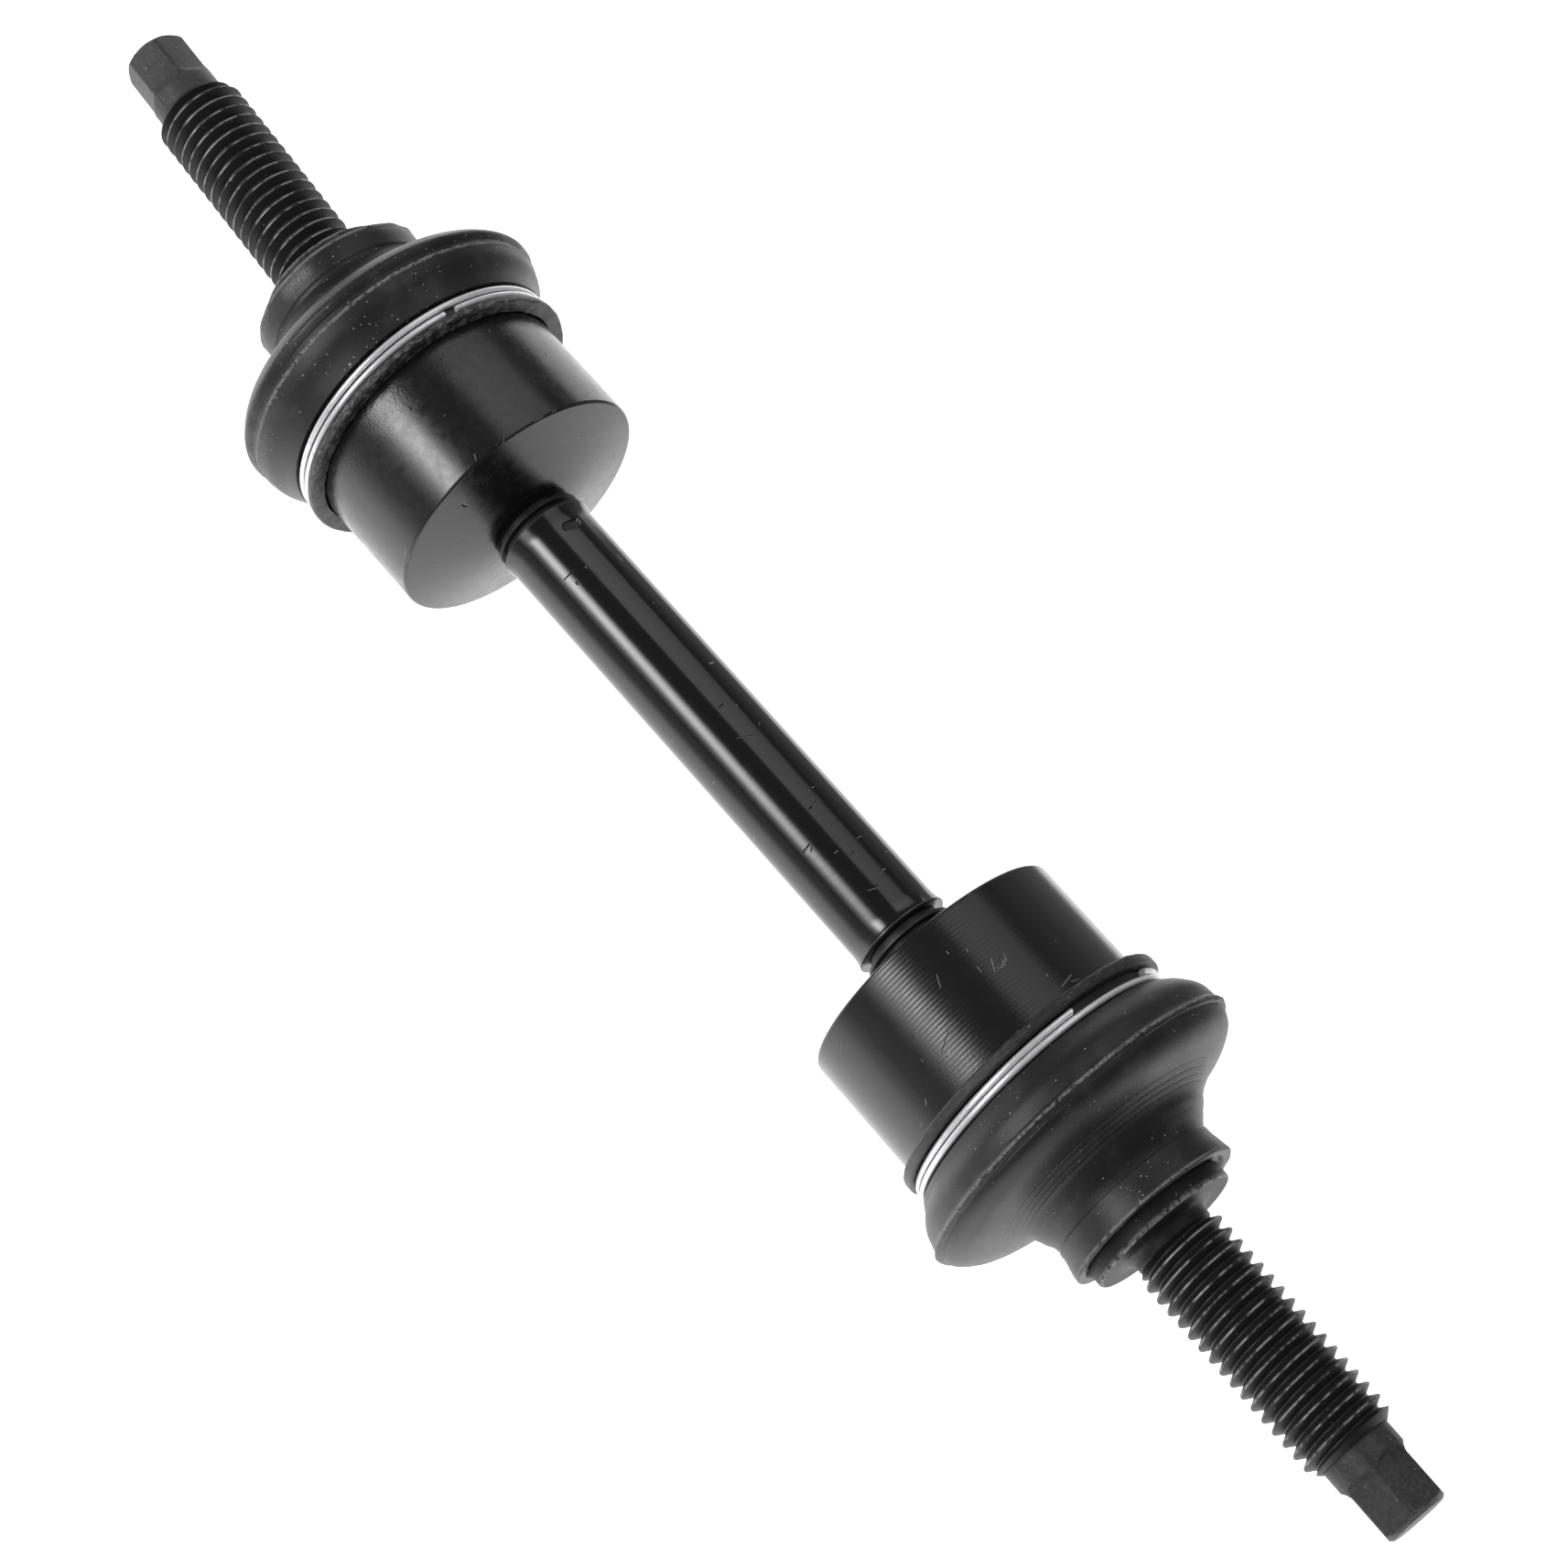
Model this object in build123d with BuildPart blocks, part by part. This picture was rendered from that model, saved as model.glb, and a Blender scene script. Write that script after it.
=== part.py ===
from build123d import *
import os
from math import cos, radians, sin, sqrt

# Anti-roll bar link: a round rod with a ball joint in line at each end.
# Origin at the middle of the rod, X along the link, Z up, millimetres and degrees.
# The upper end points to -X and the lower end to +X.
# A reach is measured outwards along an end, from the shoulder edge of its housing.

os.makedirs("parts", exist_ok=True)

# Link
shoulder_span = 78.7        # between the shoulder edges of the two housings
rod_d = 12.0
upper_stud_lean = 3.3       # how far the upper stud stands off the link's axis
lower_stud_lean = -0.45

# Weld between the rod and a housing
stub_d = 10.0               # short stub of the housing that the rod is welded to
stub_length = 2.25
rod_lip_rise = 0.35         # the weld upsets the rod's end to a thin lip
rod_lip_length = 4.5
rod_lip_edge = 0.2
flash_rise = 1.0            # thin ring of flash on the stub
flash_t = 0.45
flash_gap = 1.0             # from the rod's end to that ring

# Ball and socket
ball_d = 20.0
ball_flat = 1.3             # height of the flat on the back of the ball
ball_fit = 0.08             # radial running clearance of the ball in its seat
seat_wall = 3.5
seat_fit = 0.05             # radial clearance of the seat in the housing
seat_floor = 2.0            # thickness of the seat behind the ball
seat_reach = 4.6            # how far the outer seat wraps past the middle of the ball
grease_slots = 6
grease_slot_w = 1.4
grease_slot_depth = 0.6
grease_slot_length = 5.0

# Closing ring and the housing's mouth
ring_t = 1.8
ring_ledge = 1.3            # width of the ledge that carries the ring
ring_fit = 0.05
ring_relief = 0.45          # the ring's mouth stands off the ball
ring_flare = 0.8
crimp_t = 1.0               # lip rolled over the closing ring
crimp_overlap = 1.0
crimp_r = 0.9

# Housing
housing_wall = 4.0          # between the seat and the outside
housing_floor = 5.0         # reach of the socket's floor
shoulder_rise = 3.1         # height of the shallow cone towards the rod
shoulder_root_step = 0.6    # from the stub to the small end of that cone
shoulder_edge_r = 0.3
rim_step = 0.4              # beyond the boot's groove the housing is a little smaller
rim_length = 4.0

# Boot
boot_gap = 0.3              # the rubber stands this far off its neighbours
boot_groove_w = 3.0
boot_groove_depth = 0.9
boot_lip_w = 1.45           # lip on the rod's side of the wire
boot_lip_wall = 1.8
boot_bead_wall = 1.2        # rubber under the wire
boot_wall = 1.7
boot_bulge = 4.6            # the barrel stands this far outside the housing
barrel_rise = 1.0           # step from the lip's height to the start of the barrel
barrel_reach = 4.4          # from the groove to the widest place
crown_round_r = 5.4         # outer round of the barrel
crown_start = 3.0           # from the widest place to where the boot follows the stud
crown_side_r = 1.0          # the round ends this far outside its own centre
collar_wall = 2.4
collar_lip_w = 0.6
collar_lip_rise = 0.2
collar_root = 2.5           # rubber outside the seal where the collar starts
waist_depth = 0.35          # shallow groove round the collar
waist_gap = 3.2             # from the flange back to the middle of that groove
waist_w = 1.6
seal_w = 0.8
seal_root = 1.6

# Wire clip round the boot's lip
wire_d = 0.8
wire_pitch = 0.86
wire_turns = 2.0

# Stud
stud_neck_d = 10.0
neck_cone_length = 2.8      # from the neck up to the boot seat
boot_seat_d = 14.0          # cylinder that the boot's insert ring turns on
boot_seat_lead = 1.5        # it starts this far before the insert ring
flange_d = 19.2
flange_reach = 21.6         # from the middle of the ball to the underside of the flange
flange_t = 2.4
flange_edge = 0.35
flange_root_r = 1.0         # fillet under the clamping face, clear of a 12.5 mm hole
undercut_depth = 0.75       # below the thread's crests
undercut_w = 1.4
thread_d = 11.9             # M12 thread, over its crests
thread_length = 30.2
thread_chamfer = 0.9
drive_neck_depth = 1.35     # below the thread's crests
drive_neck_length = 3.0
drive_across = 8.0          # hexagon, across its flats
drive_corner_cut = 0.12     # the turned blank takes this off the hexagon's corners
drive_length = 7.3
drive_chamfer = 0.9

# Insert ring in the boot's collar
insert_fit = 0.08           # radial running clearance on the stud
insert_wall = 1.5
insert_length = 5.0
insert_groove_w = 2.0
insert_groove_depth = 0.5

# Sizes that follow
rod_r = rod_d / 2
rod_lip_r = rod_r + rod_lip_rise
stub_r = stub_d / 2
ball_r = ball_d / 2
pocket_r = ball_r + ball_fit
seat_r = ball_r + seat_wall
bore_r = seat_r + seat_fit
housing_r = seat_r + housing_wall
ring_bore_r = bore_r + ring_ledge
ring_mouth_r = sqrt(ball_r**2 - seat_reach**2) + ring_relief
rim_r = housing_r - rim_step
groove_r = housing_r - boot_groove_depth
ball_reach = housing_floor + seat_floor + ball_r
ledge_reach = ball_reach + seat_reach
mouth_reach = ledge_reach + ring_t + crimp_t
groove_end = mouth_reach - rim_length
groove_start = groove_end - boot_groove_w
bead_inner_r = groove_r + boot_gap
bead_r = bead_inner_r + boot_bead_wall
boot_seat_r = boot_seat_d / 2
insert_r = boot_seat_r + insert_fit + insert_wall
flange_start = ball_reach + flange_reach
insert_end = flange_start - boot_gap
insert_start = insert_end - insert_length
boot_seat_start = insert_start - boot_seat_lead


def end_plane(side, lean=0.0):
    """Sketch plane of an end: local x is the reach and local y is Z, leaned about the ball."""
    out_x = side * cos(radians(lean))
    out_y = sin(radians(lean))
    ball_x = side * (shoulder_span / 2 + ball_reach)
    origin = (ball_x - ball_reach * out_x, -ball_reach * out_y, 0)
    return Plane(origin=origin, x_dir=(out_x, out_y, 0), z_dir=(out_y, -out_x, 0))


def end_axis(plane):
    """Line that the pieces of an end are turned about."""
    return Axis(plane.origin, plane.x_dir)


def cross_plane(plane, reach):
    """Plane square to the axis of an end, facing outwards."""
    return Plane(origin=plane.from_local_coords(Vector(reach, 0, 0)), x_dir=(0, 0, 1), z_dir=plane.x_dir)


def make_rod():
    """Solid rod, each end upset to a thin lip by its weld."""
    half = shoulder_span / 2 - shoulder_rise - stub_length
    lip_start = half - rod_lip_length
    with BuildPart() as rod:
        with BuildSketch(Plane.XZ):
            with BuildLine():
                Polyline(
                    (-half, 0),
                    (half, 0),
                    (half, rod_lip_r),
                    (lip_start, rod_r),
                    (-lip_start, rod_r),
                    (-half, rod_lip_r),
                    close=True,
                )
            make_face()
        revolve(axis=Axis.X)
        rims = rod.edges().filter_by(GeomType.CIRCLE)
        lips = rims.filter_by(lambda edge: edge.radius > rod_lip_r - 0.001)
        fillet(lips, rod_lip_edge)
    rod.part.label = "rod"
    export_step(rod.part, "parts/rod.step")


def make_housing(end, side):
    """Forged cup: stub, shallow cone towards the rod, socket, boot groove and rolled mouth."""
    plane = end_plane(side)
    weld = -shoulder_rise - stub_length
    flash = weld + flash_gap
    crimp_start = mouth_reach - crimp_t
    crimp_inner_r = ring_bore_r - crimp_overlap
    with BuildPart() as housing:
        with BuildSketch(plane):
            with BuildLine():
                Polyline(
                    (housing_floor, 0),
                    (weld, 0),
                    (weld, stub_r),
                    (flash, stub_r),
                    (flash, stub_r + flash_rise),
                    (flash + flash_t, stub_r + flash_rise),
                    (flash + flash_t, stub_r),
                    (-shoulder_rise, stub_r),
                    (-shoulder_rise, stub_r + shoulder_root_step),
                    (0, housing_r),
                    (groove_start, housing_r),
                    (groove_start, groove_r),
                    (groove_end, groove_r),
                    (groove_end, rim_r),
                    (mouth_reach, rim_r),
                    (mouth_reach, crimp_inner_r),
                    (crimp_start, crimp_inner_r),
                    (crimp_start, ring_bore_r),
                    (ledge_reach, ring_bore_r),
                    (ledge_reach, bore_r),
                    (housing_floor, bore_r),
                    close=True,
                )
            make_face()
        revolve(axis=end_axis(plane))
        rims = housing.edges().filter_by(GeomType.CIRCLE)
        shoulder = rims.filter_by(lambda edge: abs(edge.radius - housing_r) < 0.001)
        fillet(shoulder.sort_by_distance((0, 0, 0))[0], shoulder_edge_r)
        rims = housing.edges().filter_by(GeomType.CIRCLE)
        mouth = rims.filter_by(lambda edge: abs(edge.radius - rim_r) < 0.001)
        fillet(mouth.sort_by_distance((0, 0, 0))[-1], crimp_r)
    housing.part.label = f"{end}_housing"
    export_step(housing.part, f"parts/{end}_housing.step")


def make_inner_seat(end, side):
    """Plastic cup behind the ball, with grease slots along its pocket."""
    plane = end_plane(side)
    half_way = pocket_r * sqrt(0.5)
    with BuildPart() as inner_seat:
        with BuildSketch(plane):
            with BuildLine():
                Polyline(
                    (ball_reach, pocket_r),
                    (ball_reach, seat_r),
                    (housing_floor, seat_r),
                    (housing_floor, 0),
                    (ball_reach - pocket_r, 0),
                )
                ThreePointArc(
                    (ball_reach - pocket_r, 0),
                    (ball_reach - half_way, half_way),
                    (ball_reach, pocket_r),
                )
            make_face()
        revolve(axis=end_axis(plane))
        with BuildSketch(cross_plane(plane, ball_reach)):
            with PolarLocations(0, grease_slots):
                Rectangle(pocket_r + grease_slot_depth, grease_slot_w, align=(Align.MIN, Align.CENTER))
        extrude(amount=-grease_slot_length, mode=Mode.SUBTRACT)
    inner_seat.part.label = f"{end}_inner_seat"
    export_step(inner_seat.part, f"parts/{end}_inner_seat.step")


def make_outer_seat(end, side):
    """Plastic ring that wraps the ball past its middle."""
    plane = end_plane(side)
    top_r = sqrt(pocket_r**2 - seat_reach**2)
    half_reach = seat_reach / 2
    with BuildPart() as outer_seat:
        with BuildSketch(plane):
            with BuildLine():
                Polyline(
                    (ledge_reach, top_r),
                    (ledge_reach, seat_r),
                    (ball_reach, seat_r),
                    (ball_reach, pocket_r),
                )
                ThreePointArc(
                    (ball_reach, pocket_r),
                    (ball_reach + half_reach, sqrt(pocket_r**2 - half_reach**2)),
                    (ledge_reach, top_r),
                )
            make_face()
        revolve(axis=end_axis(plane))
    outer_seat.part.label = f"{end}_outer_seat"
    export_step(outer_seat.part, f"parts/{end}_outer_seat.step")


def make_closing_ring(end, side):
    """Steel ring under the rolled lip, its mouth smaller than the ball."""
    plane = end_plane(side)
    top = ledge_reach + ring_t
    with BuildPart() as closing_ring:
        with BuildSketch(plane):
            with BuildLine():
                Polyline(
                    (ledge_reach, ring_mouth_r),
                    (ledge_reach, ring_bore_r - ring_fit),
                    (top, ring_bore_r - ring_fit),
                    (top, ring_mouth_r + ring_flare),
                    (top - ring_flare, ring_mouth_r),
                    close=True,
                )
            make_face()
        revolve(axis=end_axis(plane))
    closing_ring.part.label = f"{end}_closing_ring"
    export_step(closing_ring.part, f"parts/{end}_closing_ring.step")


def make_wire_clip(end, side):
    """Spring wire wound round the boot's lip."""
    plane = end_plane(side)
    rise = wire_turns * wire_pitch
    start = plane.from_local_coords(Vector((groove_start + groove_end - rise) / 2, 0, 0))
    coil_r = bead_r + boot_gap + wire_d / 2
    with BuildPart() as wire_clip:
        with BuildLine() as path:
            coil = Helix(wire_pitch, rise, coil_r, center=start, direction=plane.x_dir)
        with BuildSketch(Plane(origin=coil @ 0, z_dir=coil % 0)):
            Circle(wire_d / 2)
        sweep(path=path.wires()[0], is_frenet=True)
    wire_clip.part.label = f"{end}_wire_clip"
    export_step(wire_clip.part, f"parts/{end}_wire_clip.step")


def make_boot(end, side, lean):
    """Rubber boot: lip and barrel in line with the housing, crown and collar with the stud."""
    base_plane = end_plane(side)
    stud_plane = end_plane(side, lean)
    lip_start = groove_start - boot_lip_w
    lip_inner_r = housing_r + boot_gap
    lip_r = lip_inner_r + boot_lip_wall
    rim_inner_r = rim_r + boot_gap
    widest = groove_end + barrel_reach
    widest_r = housing_r + boot_bulge
    round_centre_r = widest_r - crown_round_r
    round_inner_r = crown_round_r - boot_wall
    crown = widest + crown_start
    crown_r = round_centre_r + sqrt(crown_round_r**2 - crown_start**2)
    crown_inner_r = round_centre_r + sqrt(round_inner_r**2 - crown_start**2)
    side_end = widest + sqrt(crown_round_r**2 - crown_side_r**2)
    side_end_inner = widest + sqrt(round_inner_r**2 - crown_side_r**2)
    side_r = round_centre_r + crown_side_r
    seal_r = boot_seat_r + boot_gap
    insert_pocket_r = insert_r + boot_gap
    collar_r = insert_pocket_r + collar_wall
    pocket_start = insert_start - boot_gap
    seal_start = pocket_start - seal_w
    collar_end = insert_end + collar_lip_w
    recess_r = flange_d / 2 + boot_gap
    waist = flange_start - waist_gap
    waist_r = collar_r - waist_depth
    with BuildPart() as boot:
        # the wedge between barrel and crown takes up the stud's lean
        with BuildSketch(cross_plane(base_plane, widest)):
            Circle(widest_r)
        with BuildSketch(cross_plane(stud_plane, crown)):
            Circle(crown_r)
        loft()
        with BuildSketch(cross_plane(base_plane, widest)):
            Circle(widest_r - boot_wall)
        with BuildSketch(cross_plane(stud_plane, crown)):
            Circle(crown_inner_r)
        loft(mode=Mode.SUBTRACT)
        with BuildSketch(base_plane):
            with BuildLine():
                Polyline(
                    (groove_end, lip_r + barrel_rise),
                    (groove_end, bead_r),
                    (groove_start, bead_r),
                    (groove_start, lip_r),
                    (lip_start, lip_r),
                    (lip_start, lip_inner_r),
                    (groove_start + boot_gap, lip_inner_r),
                    (groove_start + boot_gap, bead_inner_r),
                    (groove_end - boot_gap, bead_inner_r),
                    (groove_end - boot_gap, rim_inner_r),
                    (groove_end + boot_gap, rim_inner_r),
                    (widest, widest_r - boot_wall),
                    (widest, widest_r),
                )
                TangentArc((widest, widest_r), (groove_end, lip_r + barrel_rise), tangent=(-1, 0))
            make_face()
        revolve(axis=end_axis(base_plane))
        with BuildSketch(stud_plane):
            with BuildLine():
                outside = TangentArc(
                    (crown, crown_r),
                    (side_end, side_r),
                    tangent=(crown_r - round_centre_r, -crown_start),
                )
                TangentArc(outside @ 1, (seal_start, seal_r + seal_root + collar_root), tangent=outside % 1)
                Polyline(
                    (seal_start, seal_r + seal_root + collar_root),
                    (waist - waist_w / 2, waist_r),
                    (waist + waist_w / 2, waist_r),
                    (waist + waist_w, collar_r),
                    (collar_end, collar_r + collar_lip_rise),
                    (collar_end, recess_r),
                    (insert_end, recess_r),
                    (insert_end, insert_pocket_r),
                    (pocket_start, insert_pocket_r),
                    (pocket_start, seal_r),
                    (seal_start, seal_r),
                    (seal_start, seal_r + seal_root),
                )
                inside = TangentArc(
                    (crown, crown_inner_r),
                    (side_end_inner, side_r),
                    tangent=(crown_inner_r - round_centre_r, -crown_start),
                )
                TangentArc(inside @ 1, (seal_start, seal_r + seal_root), tangent=inside % 1)
                Line((crown, crown_inner_r), (crown, crown_r))
            make_face()
        revolve(axis=end_axis(stud_plane))
    boot.part.label = f"{end}_boot"
    export_step(boot.part, f"parts/{end}_boot.step")


def make_insert_ring(end, side, lean):
    """Stiff ring in the boot's collar, a running fit on the stud."""
    plane = end_plane(side, lean)
    middle = (insert_start + insert_end) / 2
    groove_near = middle - insert_groove_w / 2
    groove_far = middle + insert_groove_w / 2
    with BuildPart() as insert_ring:
        with BuildSketch(plane):
            with BuildLine():
                Polyline(
                    (insert_start, insert_r),
                    (insert_start, boot_seat_r + insert_fit),
                    (insert_end, boot_seat_r + insert_fit),
                    (insert_end, insert_r),
                    (groove_far, insert_r),
                    (groove_far, insert_r - insert_groove_depth),
                    (groove_near, insert_r - insert_groove_depth),
                    (groove_near, insert_r),
                    close=True,
                )
            make_face()
        revolve(axis=end_axis(plane))
    insert_ring.part.label = f"{end}_insert_ring"
    export_step(insert_ring.part, f"parts/{end}_insert_ring.step")


def make_ball_stud(end, side, lean):
    """Ball, neck, boot seat, flange, threaded shank and drive hexagon in one forging."""
    plane = end_plane(side, lean)
    flat_reach = ball_reach - ball_r + ball_flat
    flat_r = sqrt(ball_r**2 - (ball_r - ball_flat) ** 2)
    neck_r = stud_neck_d / 2
    ball_end = ball_reach + sqrt(ball_r**2 - neck_r**2)
    flange_end = flange_start + flange_t
    thread_r = thread_d / 2
    undercut_r = thread_r - undercut_depth
    thread_start = flange_end + undercut_w
    thread_end = thread_start + thread_length
    drive_start = thread_end + drive_neck_length
    tip = drive_start + drive_length
    corner_r = drive_across / sqrt(3) - drive_corner_cut
    with BuildPart() as ball_stud:
        with BuildSketch(cross_plane(plane, drive_start)):
            RegularPolygon(drive_across / 2, 6, major_radius=False)
        extrude(amount=drive_length)
        # the hexagon is formed on a turned and chamfered end
        with BuildSketch(plane):
            with BuildLine():
                Polyline(
                    (drive_start, 0),
                    (tip, 0),
                    (tip, corner_r - drive_chamfer),
                    (tip - drive_chamfer, corner_r),
                    (drive_start, corner_r),
                    close=True,
                )
            make_face()
        revolve(axis=end_axis(plane), mode=Mode.INTERSECT)
        with BuildSketch(plane):
            with BuildLine():
                Polyline((drive_start, 0), (flat_reach, 0), (flat_reach, flat_r))
                ThreePointArc((flat_reach, flat_r), (ball_reach, ball_r), (ball_end, neck_r))
                Polyline(
                    (ball_end, neck_r),
                    (boot_seat_start - neck_cone_length, neck_r),
                    (boot_seat_start, boot_seat_r),
                    (flange_start, boot_seat_r),
                    (flange_start, flange_d / 2),
                    (flange_end - flange_edge, flange_d / 2),
                    (flange_end, flange_d / 2 - flange_edge),
                    (flange_end, undercut_r + flange_root_r),
                )
                TangentArc(
                    (flange_end, undercut_r + flange_root_r),
                    (flange_end + flange_root_r, undercut_r),
                    tangent=(0, -1),
                )
                Polyline(
                    (flange_end + flange_root_r, undercut_r),
                    (thread_start, undercut_r),
                    (thread_start + undercut_depth, thread_r),
                    (thread_end - thread_chamfer, thread_r),
                    (thread_end, thread_r - thread_chamfer),
                    (thread_end, thread_r - drive_neck_depth),
                    (drive_start, thread_r - drive_neck_depth),
                    (drive_start, 0),
                )
            make_face()
        revolve(axis=end_axis(plane))
    ball_stud.part.label = f"{end}_ball_stud"
    export_step(ball_stud.part, f"parts/{end}_ball_stud.step")


make_rod()
for end, side, lean in (("upper", -1, upper_stud_lean), ("lower", 1, lower_stud_lean)):
    make_housing(end, side)
    make_inner_seat(end, side)
    make_outer_seat(end, side)
    make_closing_ring(end, side)
    make_wire_clip(end, side)
    make_boot(end, side, lean)
    make_insert_ring(end, side, lean)
    make_ball_stud(end, side, lean)
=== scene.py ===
import math

import bpy
from mathutils import Matrix, Vector, noise


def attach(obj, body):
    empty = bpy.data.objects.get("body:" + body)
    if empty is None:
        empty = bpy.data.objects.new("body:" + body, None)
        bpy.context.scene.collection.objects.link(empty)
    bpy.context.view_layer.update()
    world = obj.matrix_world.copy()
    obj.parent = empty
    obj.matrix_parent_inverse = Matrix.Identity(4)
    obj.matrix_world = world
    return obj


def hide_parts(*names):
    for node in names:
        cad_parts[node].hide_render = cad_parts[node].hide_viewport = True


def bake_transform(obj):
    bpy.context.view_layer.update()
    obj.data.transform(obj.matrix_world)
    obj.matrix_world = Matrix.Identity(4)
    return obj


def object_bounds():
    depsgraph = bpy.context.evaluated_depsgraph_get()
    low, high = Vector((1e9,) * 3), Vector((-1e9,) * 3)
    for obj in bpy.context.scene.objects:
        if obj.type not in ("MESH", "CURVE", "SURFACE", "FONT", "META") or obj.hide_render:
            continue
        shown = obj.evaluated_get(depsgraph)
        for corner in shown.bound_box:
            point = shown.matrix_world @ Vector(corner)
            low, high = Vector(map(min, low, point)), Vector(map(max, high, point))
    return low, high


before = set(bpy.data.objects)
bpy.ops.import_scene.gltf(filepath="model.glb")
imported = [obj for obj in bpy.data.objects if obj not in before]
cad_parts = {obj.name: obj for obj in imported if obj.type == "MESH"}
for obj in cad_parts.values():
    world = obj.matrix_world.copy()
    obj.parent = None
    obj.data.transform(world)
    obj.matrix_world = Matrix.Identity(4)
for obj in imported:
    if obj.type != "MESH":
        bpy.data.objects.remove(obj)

# Anti-roll bar link with a ball joint in line at each end.
# Lengths are millimetres until they reach Blender, which works in metres.
# Both ends are modelled at the lower end, straight along +X. A reach counts outwards from the
# shoulder edge of the housing. A copy is then turned round to the upper end, where the stud leans.

cadLow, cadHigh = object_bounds()
mm = 0.001
fullTurn = 2 * math.pi

layout = {
    "shoulderX": 39.35,    # shoulder edge of the lower housing
    "ballReach": 17.0,     # middle of the ball
    "upperLean": 3.3,      # degrees that the upper stud stands off the axis
    "lowerLean": -0.45,
    "bendStart": 20.0,     # a boot bends between these reaches
    "bendEnd": 31.0,
    "softFrom": 21.6,      # beyond this distance a boot is eased into the solids' box
    "boxMargin": 0.01,
}
lowerSet = {
    # how the lower boot has set: tables of (reach, millimetres)
    "bulge": [
        (16, 0.42), (18, 0.42), (18.6, 0.15), (19.8, 0.2), (21, 0.52), (23, 0.55),
        (25.4, 0.4), (26.5, 0.46), (28, 0.75), (29.2, 1.0), (31, 1.15), (32.2, 0.95),
        (33.2, 0.7), (35, 0.34), (39, 0.28),
    ],
    "skew": [(16, 1.0), (28, 1.0), (32, 0.0)],
    "skewMiddle": 0.41,
    "skewSide": -0.40,
    "skewRise": -0.12,
    "lipRadius": 17.7,     # the lip's inside keeps its round up to here
    "lipWidth": 1.4,
    "lipTo": 20.2,
}
ballX = layout["shoulderX"] + layout["ballReach"]


def deselectAll():
    if bpy.context.object and bpy.context.object.mode != "OBJECT":
        bpy.ops.object.mode_set(mode="OBJECT")
    bpy.ops.object.select_all(action="DESELECT")


def makeActive(piece):
    deselectAll()
    piece.select_set(True)
    bpy.context.view_layer.objects.active = piece


def editAll():
    bpy.ops.object.mode_set(mode="EDIT")
    bpy.ops.mesh.select_all(action="SELECT")


def applyModifier(piece, kind, **values):
    makeActive(piece)
    modifier = piece.modifiers.new(kind.lower(), kind)
    for key, value in values.items():
        setattr(modifier, key, value)
    bpy.ops.object.modifier_apply(modifier=modifier.name)


def roundCorners(corners, step=18.0, hold=0.05):
    # corners are (x, r) or (x, r, rounding); each rounding becomes a short arc
    # a point just outside each end of an arc keeps the shading of the long faces even
    line = []
    last = len(corners) - 1
    for i, corner in enumerate(corners):
        here = Vector(corner[:2])
        radius = corner[2] if len(corner) > 2 else 0
        if not radius or i in (0, last):
            line.append(here)
            continue
        back = (Vector(corners[i - 1][:2]) - here).normalized()
        ahead = (Vector(corners[i + 1][:2]) - here).normalized()
        half = back.angle(ahead) / 2
        cut = radius / math.tan(half)
        middle = here + (back + ahead).normalized() * (radius / math.sin(half))
        first = here + back * cut - middle
        second = here + ahead * cut - middle
        sweep = first.angle_signed(second)
        count = max(2, math.ceil(abs(math.degrees(sweep)) / step))
        if hold:
            line.append(here + back * (cut + hold))
        for k in range(count + 1):
            angle = math.atan2(first.y, first.x) - sweep * k / count
            line.append(middle + radius * Vector((math.cos(angle), math.sin(angle))))
        if hold:
            line.append(here + ahead * (cut + hold))
    return line


def smoothRun(points, perSpan=5):
    # a curve through the points, each span a cubic that leans on its neighbours
    points = [Vector(p) for p in points]
    line = []
    for i in range(len(points) - 1):
        before = points[max(i - 1, 0)]
        start, end = points[i], points[i + 1]
        after = points[min(i + 2, len(points) - 1)]
        for k in range(perSpan):
            t = k / perSpan
            pull = (end - before) * t + (2 * before - 5 * start + 4 * end - after) * t**2
            pull += (3 * start - before - 3 * end + after) * t**3
            line.append(start + pull / 2)
    line.append(points[-1])
    return line


def startOutline(name, outline):
    # one vertex, extruded along the outline by hand
    deselectAll()
    bpy.ops.mesh.primitive_plane_add(size=mm, location=(0, 0, 0))
    piece = bpy.context.object
    piece.name = piece.data.name = name
    editAll()
    bpy.ops.mesh.merge(type="CENTER")
    bpy.ops.transform.translate(value=(outline[0][0] * mm, 0, outline[0][1] * mm))
    for start, end in zip(outline, outline[1:]):
        move = ((end[0] - start[0]) * mm, 0, (end[1] - start[1]) * mm)
        bpy.ops.mesh.extrude_vertices_move(TRANSFORM_OT_translate={"value": move})
    return piece


def spinOutline(name, outline, steps=160, shift=layout["shoulderX"]):
    # an outline of (reach, radius), turned about the X axis
    piece = startOutline(name, [(p[0] + shift, p[1]) for p in outline])
    bpy.ops.mesh.select_all(action="SELECT")
    bpy.ops.mesh.spin(steps=steps, angle=fullTurn, center=(0, 0, 0), axis=(1, 0, 0))
    bpy.ops.mesh.select_all(action="SELECT")
    bpy.ops.mesh.remove_doubles(threshold=0.002 * mm)
    bpy.ops.mesh.normals_make_consistent(inside=False)
    bpy.ops.object.mode_set(mode="OBJECT")
    return piece


def smoothShade(piece, angle=32):
    makeActive(piece)
    bpy.ops.object.shade_smooth_by_angle(angle=math.radians(angle))


def reachOf(point):
    return point.x / mm - layout["shoulderX"]


def radiusOf(point):
    return math.hypot(point.y, point.z) / mm


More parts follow.
